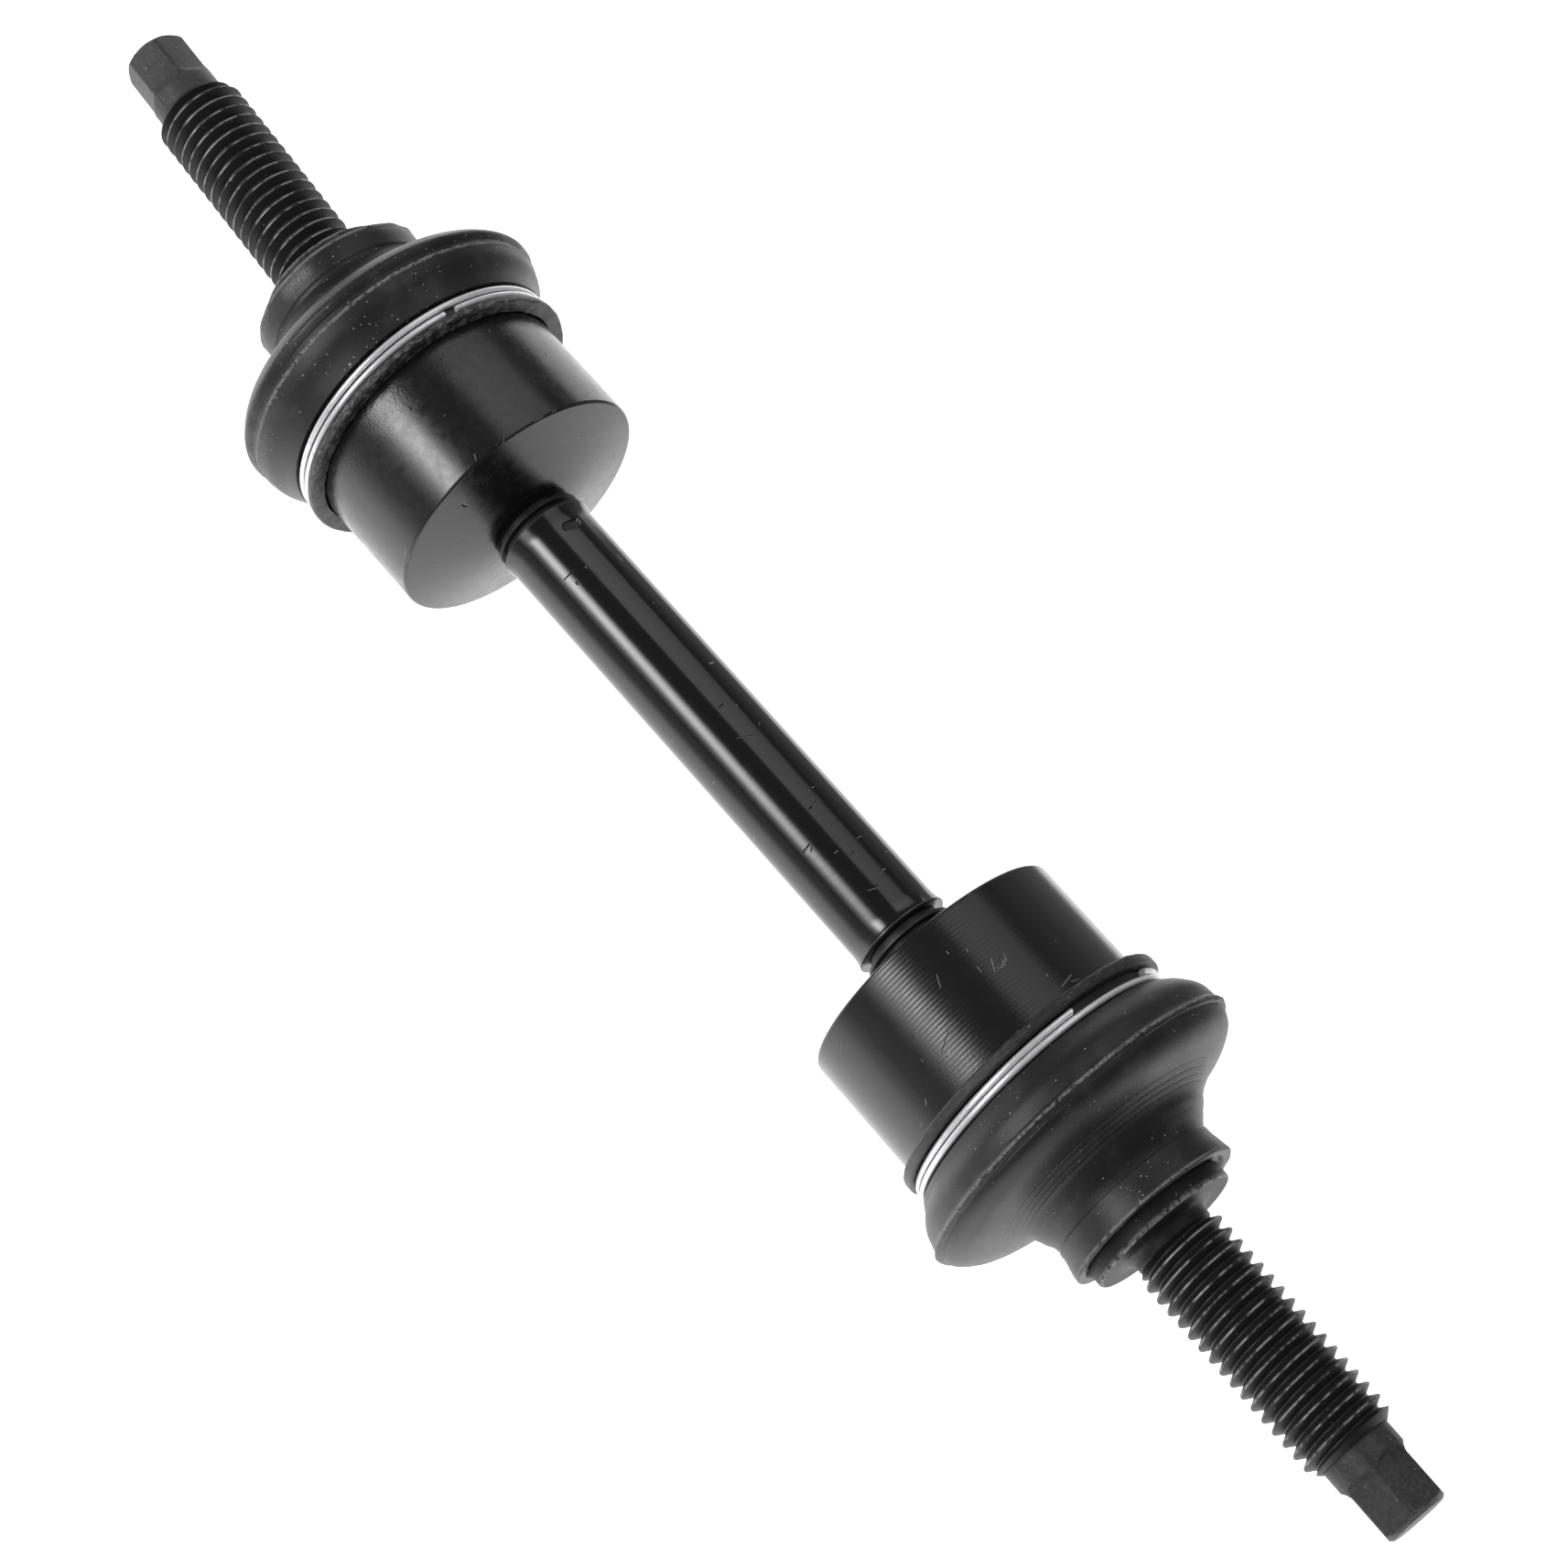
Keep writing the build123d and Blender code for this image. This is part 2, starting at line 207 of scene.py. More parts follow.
def roughen(piece, reach, radius, width, amount, grain, seed):
    # uneven rubber edge: points near a reach and radius move in, out and along
    for vertex in piece.data.vertices:
        away = math.hypot(reachOf(vertex.co) - reach, radiusOf(vertex.co) - radius)
        if away < width:
            fade = 1 - (away / width) ** 2
            around = Vector((seed, vertex.co.y, vertex.co.z)) * (grain / mm)
            shift = Vector((seed * 7, 0, 0))
            outward = Vector((0, vertex.co.y, vertex.co.z)).normalized()
            vertex.co += outward * (amount * fade * noise.noise(around) * mm)
            vertex.co.x += amount * fade * noise.noise(around + shift) * mm


def smoothStep(value, low, high):
    t = min(1.0, max(0.0, (value - low) / (high - low)))
    return t * t * (3 - 2 * t)


def alongTable(table, value):
    # smooth value from a table of (place, value)
    for (low, first), (high, second) in zip(table, table[1:]):
        if value <= high:
            return first + (second - first) * smoothStep(value, low, high)
    return table[-1][1]


def keepOwnPlace(piece):
    # the place of each point at the straight lower end, in millimetres, for the materials
    marks = piece.data.attributes.new("ownPlace", "FLOAT_VECTOR", "POINT")
    for mark, vertex in zip(marks.data, piece.data.vertices):
        mark.vector = (vertex.co.x / mm, vertex.co.y / mm, vertex.co.z / mm)


def upperCopy(piece, name, lean):
    # turned round to the upper end; lean gives the share of the stud's lean at a reach
    other = piece.copy()
    other.data = piece.data.copy()
    other.name = other.data.name = name
    bpy.context.collection.objects.link(other)
    middle = Vector((-ballX * mm, 0, 0))
    for vertex in other.data.vertices:
        angle = -math.radians(layout["upperLean"]) * lean(reachOf(vertex.co))
        turned = Vector((-vertex.co.x, -vertex.co.y, vertex.co.z)) - middle
        vertex.co = middle + Matrix.Rotation(angle, 3, "Z") @ turned
    other.data.update()
    return other


def leanLower(piece, lean):
    # the lower stud stands off the axis too, the other way
    middle = Vector((ballX * mm, 0, 0))
    for vertex in piece.data.vertices:
        angle = math.radians(layout["lowerLean"]) * lean(reachOf(vertex.co))
        vertex.co = middle + Matrix.Rotation(angle, 3, "Z") @ (vertex.co - middle)
    piece.data.update()


def skewLower(piece):
    # the lower boot and its wire sit a little askew, and the boot bulges to one side
    for vertex in piece.data.vertices:
        reach, radius = reachOf(vertex.co), radiusOf(vertex.co)
        side = vertex.co.y / mm / max(radius, 0.01)
        rise = vertex.co.z / mm / max(radius, 0.01)
        bulge = alongTable(lowerSet["bulge"], reach)
        if reach < lowerSet["lipTo"]:
            bulge *= min(1.0, max(0.0, (radius - lowerSet["lipRadius"]) / lowerSet["lipWidth"]))
        turn = lowerSet["skewMiddle"] + lowerSet["skewSide"] * side + lowerSet["skewRise"] * rise
        vertex.co.x += alongTable(lowerSet["skew"], reach) * turn * mm
        vertex.co.y += bulge * mm
    piece.data.update()


def keepInside(piece):
    # soft stop just inside the height and width of the solids
    soft = layout["softFrom"]
    for vertex in piece.data.vertices:
        for axis in (1, 2):
            value = abs(vertex.co[axis]) / mm
            if value > soft:
                room = cadHigh[axis] / mm - layout["boxMargin"] - soft
                value = soft + room * math.tanh((value - soft) / room)
                vertex.co[axis] = math.copysign(value * mm, vertex.co[axis])
    piece.data.update()


def noLean(reach):
    return 0.0


def fullLean(reach):
    return 1.0


def bendLean(reach):
    return smoothStep(reach, layout["bendStart"], layout["bendEnd"])


print("node groups")


def newGroup(name, inputs, outputs):
    # an input without a value is a vector, the others and the outputs are plain numbers
    group = bpy.data.node_groups.new(name, "ShaderNodeTree")
    for label, value in inputs.items():
        kind = "NodeSocketVector" if value is None else "NodeSocketFloat"
        socket = group.interface.new_socket(label, in_out="INPUT", socket_type=kind)
        if value is not None:
            socket.default_value = value
    for label in outputs:
        group.interface.new_socket(label, in_out="OUTPUT", socket_type="NodeSocketFloat")
    return group, group.nodes.new("NodeGroupInput").outputs, group.nodes.new("NodeGroupOutput").inputs


def feed(node, key, value):
    # an input, by name or number, takes a socket or a plain value
    if isinstance(value, bpy.types.NodeSocket):
        node.id_data.links.new(value, node.inputs[key])
    else:
        node.inputs[key].default_value = value


def newNode(tree, kind, **values):
    node = tree.nodes.new("ShaderNode" + kind)
    for key, value in values.items():
        setattr(node, key, value)
    return node


def addNode(kind, links, **values):
    # goes into the tree of the first socket that it takes
    tree = next(value.id_data for value in links.values() if isinstance(value, bpy.types.NodeSocket))
    node = newNode(tree, kind, **values)
    for key, value in links.items():
        feed(node, key, value)
    return node


def mathNode(operation, *values, clamp=False):
    return addNode("Math", dict(enumerate(values)), operation=operation, use_clamp=clamp).outputs[0]


def plus(first, second, clamp=False):
    return mathNode("ADD", first, second, clamp=clamp)


def minus(first, second, clamp=False):
    return mathNode("SUBTRACT", first, second, clamp=clamp)


def times(first, second):
    return mathNode("MULTIPLY", first, second)


def sumOf(sockets):
    total = sockets[0]
    for socket in sockets[1:]:
        total = plus(total, socket)
    return total


def vectorNode(operation, first, second):
    node = addNode("VectorMath", {0: first, 1: second}, operation=operation)
    return node.outputs[1 if operation in ("DOT_PRODUCT", "DISTANCE") else 0]


def noiseNode(place, scale, detail, roughness=0.5):
    links = {"Vector": place, "Scale": scale, "Detail": detail, "Roughness": roughness}
    return addNode("TexNoise", links).outputs[0]


def rampNode(value, low, high, outLow=0.0, outHigh=1.0):
    links = {0: value, 1: low, 2: high, 3: outLow, 4: outHigh}
    return addNode("MapRange", links, interpolation_type="SMOOTHSTEP").outputs[0]


def buildDust():
    # scattered specks: a mask of small spots of uneven size
    inputs = {"Place": None, "Scale": 1.0, "Share": 0.1, "Size": 0.12}
    group, given, out = newGroup("dustSpecks", inputs, ["Mask"])
    links = {"Vector": given["Place"], "Scale": given["Scale"]}
    cells = addNode("TexVoronoi", links, feature="F1")
    pick = addNode("SeparateColor", {0: cells.outputs["Color"]})
    chosen = mathNode("LESS_THAN", pick.outputs[0], given["Share"])
    size = times(pick.outputs[1], given["Size"])
    inside = mathNode("LESS_THAN", cells.outputs["Distance"], size)
    group.links.new(times(chosen, inside), out["Mask"])
    return group


def buildTurned():
    # splits a place on a turned piece into its distance along and its distance from the axis
    group, given, out = newGroup("turnedPlace", {"Place": None}, ["Along", "Radius"])
    parts = addNode("SeparateXYZ", {0: given["Place"]}).outputs
    square = plus(mathNode("POWER", parts[1], 2.0), mathNode("POWER", parts[2], 2.0))
    group.links.new(parts[0], out["Along"])
    group.links.new(mathNode("SQRT", square), out["Radius"])
    return group


def buildBand():
    # soft band round a value, broken up by noise; used for worn edges and ridges
    inputs = {"Place": None, "Value": 0.0, "Centre": 0.0, "Width": 0.2, "Grain": 1.5, "Gaps": 0.5}
    group, given, out = newGroup("brokenBand", inputs, ["Mask"])
    away = mathNode("ABSOLUTE", minus(given["Value"], given["Centre"]))
    near = minus(1.0, mathNode("DIVIDE", away, given["Width"]), clamp=True)
    patches = noiseNode(given["Place"], given["Grain"], 5.0, 0.7)
    broken = rampNode(patches, given["Gaps"], plus(given["Gaps"], 0.16))
    group.links.new(times(near, broken), out["Mask"])
    return group


def buildGrain():
    # fine uneven height of two noise layers
    inputs = {"Place": None, "Fine": 4.0, "Broad": 0.4, "Share": 0.5}
    group, given, out = newGroup("surfaceGrain", inputs, ["Height", "Patches"])
    fine = noiseNode(given["Place"], given["Fine"], 4.0)
    broad = noiseNode(given["Place"], given["Broad"], 3.0)
    links = {0: given["Share"], 2: fine, 3: broad}
    group.links.new(addNode("Mix", links, data_type="FLOAT").outputs[0], out["Height"])
    group.links.new(broad, out["Patches"])
    return group


def buildMark():
    # one short scratch: a thin soft stroke at a centre, along a direction
    inputs = {"Place": None, "Centre": None, "Along": None, "Length": 1.0, "Width": 0.1}
    group, given, out = newGroup("scratchMark", inputs, ["Mask"])
    offset = vectorNode("SUBTRACT", given["Place"], given["Centre"])
    reach = times(given["Length"], 0.5)
    run = mathNode("MINIMUM", vectorNode("DOT_PRODUCT", offset, given["Along"]), reach)
    run = mathNode("MAXIMUM", run, times(reach, -1.0))
    nearest = addNode("VectorMath", {0: given["Along"], "Scale": run}, operation="SCALE").outputs[0]
    away = vectorNode("DISTANCE", offset, nearest)
    mask = minus(1.0, mathNode("DIVIDE", away, given["Width"]), clamp=True)
    group.links.new(mask, out["Mask"])
    return group


groups = {
    "dust": buildDust(),
    "turned": buildTurned(),
    "band": buildBand(),
    "grain": buildGrain(),
    "mark": buildMark(),
}


def useGroup(key, links):
    return addNode("Group", links, node_tree=groups[key]).outputs


def turnedPlace(place):
    return useGroup("turned", {"Place": place})


def bandMask(place, value, centre, width, grain, gaps):
    links = {"Place": place, "Value": value, "Centre": centre, "Width": width, "Grain": grain, "Gaps": gaps}
    return useGroup("band", links)["Mask"]


def dustMask(place, scale, share, size):
    return useGroup("dust", {"Place": place, "Scale": scale, "Share": share, "Size": size})["Mask"]


def grainOf(place, fine, broad, share):
    return useGroup("grain", {"Place": place, "Fine": fine, "Broad": broad, "Share": share})


def newMaterial(name, ior=1.5):
    # a Principled material and the place that its marks and noises read
    material = bpy.data.materials.new(name)
    material.use_nodes = True
    tree = material.node_tree
    shader = tree.nodes["Principled BSDF"]
    feed(shader, "IOR", ior)
    return material, shader, newNode(tree, "Attribute", attribute_name="ownPlace").outputs["Vector"]


def movedPlace(place, shift):
    # so that the noises of the two ends differ
    return vectorNode("ADD", place, (shift, 2 * shift, -shift))


def mixColour(mask, first, second):
    links = {0: mask, 6: first, 7: second}
    return addNode("Mix", links, data_type="RGBA").outputs[2]


def grey(value):
    # with a touch of blue, as the blacks and steels have
    return (value, value, value * 1.02, 1.0)


def addBump(shader, height, depth=mm):
    links = {"Height": height, "Strength": 1.0, "Distance": depth}
    feed(shader, "Normal", addNode("Bump", links).outputs[0])


print("materials")

rodFinish = {
    "paint": 0.004,
    "roughness": 0.12,
    "ior": 1.62,
    "waviness": 0.010,     # depth of the orange peel, mm
    "nickDepth": 0.10,
    "blister": 0.14,       # height of the broken spot in the paint near the upper end, mm
    "peel": 0.0011,        # depth of the finest grain, mm
    "scuff": 0.26,
    "edge": 6.33,          # radius of the worn edge at the lips
}
rodBlister = [(-30.75, 71, 6, 1.3, 0.8, 96)]
rodDents = [
    # along the rod, angle round it, radius, length, width, turn of the stroke from the axis in degrees
    (-25.7, 115, 6, 1.7, 0.10, 90),
    (-24.2, 114, 6, 0.25, 0.16, 0),
    (-0.4, 84, 6, 0.7, 0.08, 86),
    (4.55, 88, 6, 1.9, 0.08, 118),
    (16.3, 76.5, 6, 0.5, 0.09, 90),
    (16.5, 86, 6, 0.4, 0.09, 80),
    (19.9, 120, 6, 1.2, 0.15, 84),
    (20.4, 116, 6, 0.6, 0.12, 60),
    (24.1, 84, 6, 0.4, 0.10, 90),
    (28.7, 94.5, 6, 1.5, 0.08, 114),
]
rodScuffs = [
    (-31.1, 60, 6, 0.4, 0.12, 60),
    (-25, 94, 6, 0.2, 0.09, 0),
    (-24, 48, 6, 1.1, 0.07, 0),
    (-16.5, 58, 6, 0.15, 0.08, 0),
    (-5.9, 53, 6, 0.7, 0.16, 90),
    (4.4, 90.5, 6, 1.4, 0.045, 118),
    (4.1, 62, 6, 0.3, 0.08, 40),
    (0.6, 69, 6, 0.3, 0.07, 90),
    (14.5, 66, 6, 0.3, 0.08, 90),
    (20.4, 122, 6, 0.8, 0.06, 84),
    (22.8, 64.5, 6, 0.8, 0.06, 90),
    (22.7, 98, 6, 0.5, 0.06, 90),
    (25.9, 45.5, 6, 0.7, 0.07, 90),
    (27.8, 69, 6, 0.35, 0.08, 90),
    (28.95, 96, 6, 1.2, 0.045, 114),
    (5.6, 155, 6, 0.3, 0.1, 60),
    (-2, 162, 6, 0.2, 0.1, 0),
    (13.7, 169, 6, 0.8, 0.08, 90),
]


def turnedPoint(along, degrees, radius):
    angle = math.radians(degrees)
    return Vector((along, radius * math.cos(angle), radius * math.sin(angle)))


def strokeOnRound(degrees, turn, slope=0.0):
    # direction on a turned face, turned by so many degrees from the face's run along the axis
    angle, lean, rise = math.radians(degrees), math.radians(turn), math.radians(slope)
    around = Vector((0, -math.sin(angle), math.cos(angle)))
    outward = Vector((0, math.cos(angle), math.sin(angle)))
    run = Vector((1, 0, 0)) * math.cos(rise) + outward * math.sin(rise)
    return run * math.cos(lean) + around * math.sin(lean)


def markSum(own, marks):
    strokes = []
    for along, degrees, radius, length, width, turn in marks:
        slope = 75.0 if 7 < radius < 17.4 else 0.0     # on a housing's cone
        links = {
            "Place": own,
            "Centre": turnedPoint(along, degrees, radius),
            "Along": strokeOnRound(degrees, turn, slope),
            "Length": length,
            "Width": width,
        }
        strokes.append(useGroup("mark", links)["Mask"])
    return mathNode("MINIMUM", sumOf(strokes), 1.0)


def rodPaint():
    sizes = rodFinish
    material, shader, own = newMaterial("rodPaint", sizes["ior"])
    stretched = vectorNode("MULTIPLY", own, (2.6, 0.7, 0.7))
    grain = grainOf(stretched, 1.1, 0.3, 0.5)
    dents = markSum(own, rodDents)
    scuffs = markSum(own, rodScuffs)
    specks = dustMask(own, 1.1, 0.06, 0.12)
    radius = turnedPlace(own)["Radius"]
    edge = bandMask(own, radius, sizes["edge"], 0.07, 0.8, 0.3)
    light = sumOf([scuffs, times(specks, 0.25), times(edge, 0.25)])
    light = mathNode("MINIMUM", light, 1.0)
    colour = mixColour(light, grey(sizes["paint"]), grey(sizes["scuff"]))
    feed(shader, "Base Color", colour)
    rough = plus(sizes["roughness"], times(grain["Patches"], 0.05))
    feed(shader, "Roughness", plus(rough, times(light, 0.2)))
    wave = times(grain["Height"], sizes["waviness"])
    sunk = times(dents, -sizes["nickDepth"])
    spot = rampNode(markSum(own, rodBlister), 0.05, 0.45)
    raised = times(times(spot, noiseNode(own, 3.2, 3.0, 0.6)), sizes["blister"])
    peel = times(noiseNode(own, 5.5, 2.0), sizes["peel"])
    addBump(shader, sumOf([wave, sunk, raised, peel]))
    return material


housingFinish = {
    "coat": 0.006,
    "roughness": 0.2,
    "ior": 1.6,
    "ringPitch": 0.535,    # tool marks left by turning, mm
    "ringDepth": 0.012,
    "grainDepth": 0.042,
    "grainFrom": (47.5, 54.0),     # the paint gets coarser between these places along the cup
    "dentDepth": 0.06,
    "neckRoughness": 0.5,
    "scuff": 0.2,
    "lower": {"rings": 1.0, "mottle": 0.4, "shift": 0.0},
    "upper": {"rings": 0.06, "mottle": 1.0, "shift": 31.0},
}
upperDents = [
    # along at the straight lower end, angle there, radius, length, width, turn
    (39.6, 86.5, 17.4, 1.2, 0.16, 90),
    (47.9, 132, 17.5, 0.7, 0.12, 30),
    (53.2, 91, 17.5, 0.25, 0.14, 0),
    (50.7, 69, 17.5, 0.3, 0.16, 0),
    (49.2, -10, 17.5, 4.6, 0.14, 62),
    (38.4, 55, 13.9, 0.5, 0.25, 0),
    (38.3, 9, 13.6, 1.4, 0.16, 30),
]
upperScuffs = [
    (39.25, 86.5, 17.4, 0.35, 0.14, 60),
    (39.6, 88, 17.45, 0.9, 0.07, 40),
    (40.15, 75, 17.5, 0.8, 0.07, 25),
    (39.45, 105, 17.45, 1.3, 0.06, 90),
    (39.5, 113, 17.45, 0.7, 0.06, 90),
    (39.4, 20, 17.45, 2.4, 0.10, 88),
    (40.2, 22.5, 17.5, 1.5, 0.06, 70),
    (42.3, 130, 17.5, 0.3, 0.08, 0),
    (50.4, 145, 17.5, 0.7, 0.1, 70),
    (53.4, 116, 17.5, 0.2, 0.1, 0),
    (38.1, 152.5, 12.7, 3.6, 0.07, 90),
    (38.1, 127, 12.6, 3.9, 0.06, 90),
    (38.15, 142, 12.9, 0.2, 0.12, 0),
    (37.9, 2, 11.6, 1.6, 0.06, 90),
]
lowerDents = [
    (39.6, 79, 17.45, 4.5, 0.12, 90),
    (50.8, 119.5, 17.5, 3.2, 0.06, 62),
    (50.35, 131.5, 17.5, 0.4, 0.1, 0),
    (47.85, 127.5, 17.5, 0.2, 0.14, 0),
    (41.7, 156.5, 17.5, 0.9, 0.12, 80),
    (53.8, 142, 17.5, 0.5, 0.14, 40),
    (54.9, 151.5, 17.5, 0.8, 0.1, 90),
    (49.6, 60, 17.5, 0.25, 0.14, 0),
    (48.3, 84, 17.5, 1.1, 0.10, 10),
]
lowerScuffs = [
    (47.9, 87.5, 17.5, 1.5, 0.09, 25),
    (48.4, 83.5, 17.5, 1.1, 0.07, 75),
    (48.0, 82, 17.5, 0.9, 0.06, 30),
    (48.6, 86, 17.5, 0.8, 0.06, 120),
    (47.25, 92.5, 17.5, 0.8, 0.07, 5),
    (43.5, 97, 17.5, 0.3, 0.09, 0),
    (44.7, 91, 17.5, 0.3, 0.09, 0),
    (45.3, 106.5, 17.5, 1.6, 0.07, 25),
    (52.0, 121, 17.5, 0.7, 0.11, 60),
    (52.5, 74, 17.5, 0.25, 0.11, 0),
    (54.2, 69, 17.5, 2.2, 0.09, 75),
    (54.7, 66, 17.5, 1.2, 0.07, 100),
]


housingMarks = {
    "lower": (lowerDents, lowerScuffs),
    "upper": (upperDents, upperScuffs),
}


def housingCoat(end):
    sizes, own = housingFinish, housingFinish[end]
    mottle = own["mottle"]
    material, shader, place = newMaterial(end + "HousingCoat", sizes["ior"])
    moved = movedPlace(place, own["shift"])
    along = turnedPlace(place)["Along"]
    # rings of the lathe, on the near side only
    wave = mathNode("SINE", times(along, fullTurn / sizes["ringPitch"]))
    side = addNode("SeparateXYZ", {0: place}).outputs[1]
    seen = rampNode(side, -13.5, -10.5, 0.1, 1.0)
    seen = times(seen, rampNode(side, 1.0, 4.0, 1.0, 0.2))
    rings = times(noiseNode(moved, 0.5, 2.0), own["rings"] * sizes["ringDepth"])
    rings = times(times(wave, rings), seen)
    # grain of the paint, coarser towards the boot
    grain = grainOf(moved, 3.6, 0.35, 0.15)
    near = rampNode(along, *sizes["grainFrom"], 0.15, 1.0)
    fine = times(grain["Height"], times(near, mottle * sizes["grainDepth"]))
    dents, scuffs = [markSum(place, marks) for marks in housingMarks[end]]
    specks = dustMask(moved, 0.45, 0.12, 0.09)
    light = plus(scuffs, times(specks, 0.3), clamp=True)
    colour = mixColour(light, grey(sizes["coat"]), grey(sizes["scuff"]))
    feed(shader, "Base Color", colour)
    cloud = rampNode(noiseNode(moved, 0.8, 5.0, 0.65), 0.3, 0.7, -0.03, 0.08)
    rough = plus(sizes["roughness"], times(cloud, mottle))
    rough = plus(rough, times(light, 0.2))
    stub = layout["shoulderX"] - 3.2
    neck = rampNode(along, stub, stub + 0.3, 1.0, 0.0)
    rough = mathNode("MAXIMUM", rough, times(neck, sizes["neckRoughness"]))
    feed(shader, "Roughness", rough)
    addBump(shader, sumOf([rings, fine, times(dents, -sizes["dentDepth"])]))
    return material


rubberFinish = {
    "rubber": 0.009,
    "dusty": 0.32,
    "roughness": 0.33,
    "ior": 1.5,
    "grainDepth": 0.03,
    "pores": 0.012,
    "grooveDepth": 0.05,   # beside the parting line
    "lip": 16.6,
    "collarEdge": 38.55,
    "rings": 0.045,        # depth of the fine rings under the crown, mm
    "ringPitch": 0.45,
    "lower": {
        "shift": 0.0,
        "dust": 0.26,
        "ridge": 25.67,        # reach of the worn parting line
        "ridgeWidth": 0.3,
        "groove": 0.65,        # how far beyond it the groove runs
        "rings": 1.0,
        "lipWear": 0.12,
    },
    "upper": {
        "shift": 17.0,
        "dust": 0.42,
        "ridge": 24.87,
        "ridgeWidth": 0.35,
        "groove": 0.7,
        "rings": 0.0,
        "lipWear": 0.42,
        "patch": [(76.75, 59, 11.6, 3.2, 1.3, 90)],    # dusty crackled spot on the collar
    },
}


def bootRubber(end):
    sizes, own = rubberFinish, rubberFinish[end]
    shoulder = layout["shoulderX"]
    material, shader, place = newMaterial(end + "BootRubber", sizes["ior"])
    moved = movedPlace(place, own["shift"])
    along = turnedPlace(place)["Along"]
    grain = grainOf(moved, 5.0, 0.22, 0.2)
    torn = grainOf(moved, 3.0, 1.2, 0.3)["Height"]
    uneven = plus(along, times(torn, 0.35))
    # worn and dusty places
    ridgeAt = shoulder + own["ridge"]
    ridge = bandMask(moved, uneven, ridgeAt, own["ridgeWidth"], 1.9, 0.38)
    stretched = vectorNode("MULTIPLY", moved, (2.4, 0.6, 0.6))
    lip = bandMask(stretched, uneven, shoulder + sizes["lip"], 1.3, 1.6, 0.46)
    collar = bandMask(moved, along, shoulder + sizes["collarEdge"], 0.26, 0.9, 0.36)
    thick = noiseNode(moved, 0.16, 1.0)
    share = rampNode(thick, 0.4, 0.62, 0.5 * own["dust"], 3.2 * own["dust"])
    small = dustMask(moved, 1.7, share, 0.19)
    large = dustMask(moved, 0.42, own["dust"] * 0.7, 0.1)
    worn = [times(ridge, 0.6), times(lip, own["lipWear"]), times(collar, 0.5)]
    light = sumOf(worn + [times(small, 0.8), large])
    if "patch" in own:
        links = {"Vector": moved, "Scale": 2.6}
        crackle = addNode("TexVoronoi", links, feature="DISTANCE_TO_EDGE").outputs["Distance"]
        crackle = rampNode(crackle, 0.02, 0.14, 1.0, 0.25)
        crackle = times(crackle, markSum(place, own["patch"]))
        light = plus(light, times(crackle, 0.55))
    light = mathNode("MINIMUM", light, 1.0)
    patches = rampNode(grain["Patches"], 0.5, 0.75, 0.0, 0.05)
    dusty = plus(light, patches, clamp=True)
    colour = mixColour(dusty, grey(sizes["rubber"]), grey(sizes["dusty"]))
    feed(shader, "Base Color", colour)
    rough = plus(sizes["roughness"], times(grain["Patches"], 0.16))
    feed(shader, "Roughness", plus(rough, times(light, 0.3), clamp=True))
    # fine rings under the crown, the groove beside the parting line, and the pores
    rings = mathNode("SINE", times(along, fullTurn / sizes["ringPitch"]))
    rings = mathNode("POWER", mathNode("MAXIMUM", rings, 0.0), 3.0)
    begin = rampNode(along, shoulder + 29.4, shoulder + 29.6)
    stop = rampNode(along, shoulder + 31.0, shoulder + 31.2, 1.0, 0.0)
    rings = times(times(rings, times(begin, stop)), -own["rings"] * sizes["rings"])
    beside = mathNode("ABSOLUTE", minus(uneven, ridgeAt + own["groove"]))
    groove = times(rampNode(beside, 0.05, 0.2, 1.0, 0.0), -sizes["grooveDepth"])
    onLip = rampNode(along, shoulder + 17.3, shoulder + 17.8, 2.5, 1.0)
    pores = times(times(noiseNode(moved, 16.0, 2.0), onLip), sizes["pores"])
    height = times(grain["Height"], sizes["grainDepth"])
    addBump(shader, sumOf([height, times(light, 0.03), rings, groove, pores]))
    return material


studFinish = {
    "phosphate": 0.010,
    "worn": 0.26,
    "roughness": 0.48,
    "ior": 1.42,
    "crest": 5.95,         # radius of the thread's worn crests
    "threadFrom": 41.6,
    "flangeEdge": 9.45,    # radius of the flange's worn edge
    "flangeFace": 41.0,
    "driveFrom": 72.8,
    "driveWear": 0.14,
    "flangeShine": 0.3,    # specular level of the flange, 0.5 elsewhere
    "lower": {"drive": 0.0245, "shift": 0.0},      # tone of the drive hexagon
    "upper": {"drive": 0.035, "shift": 23.0},
}


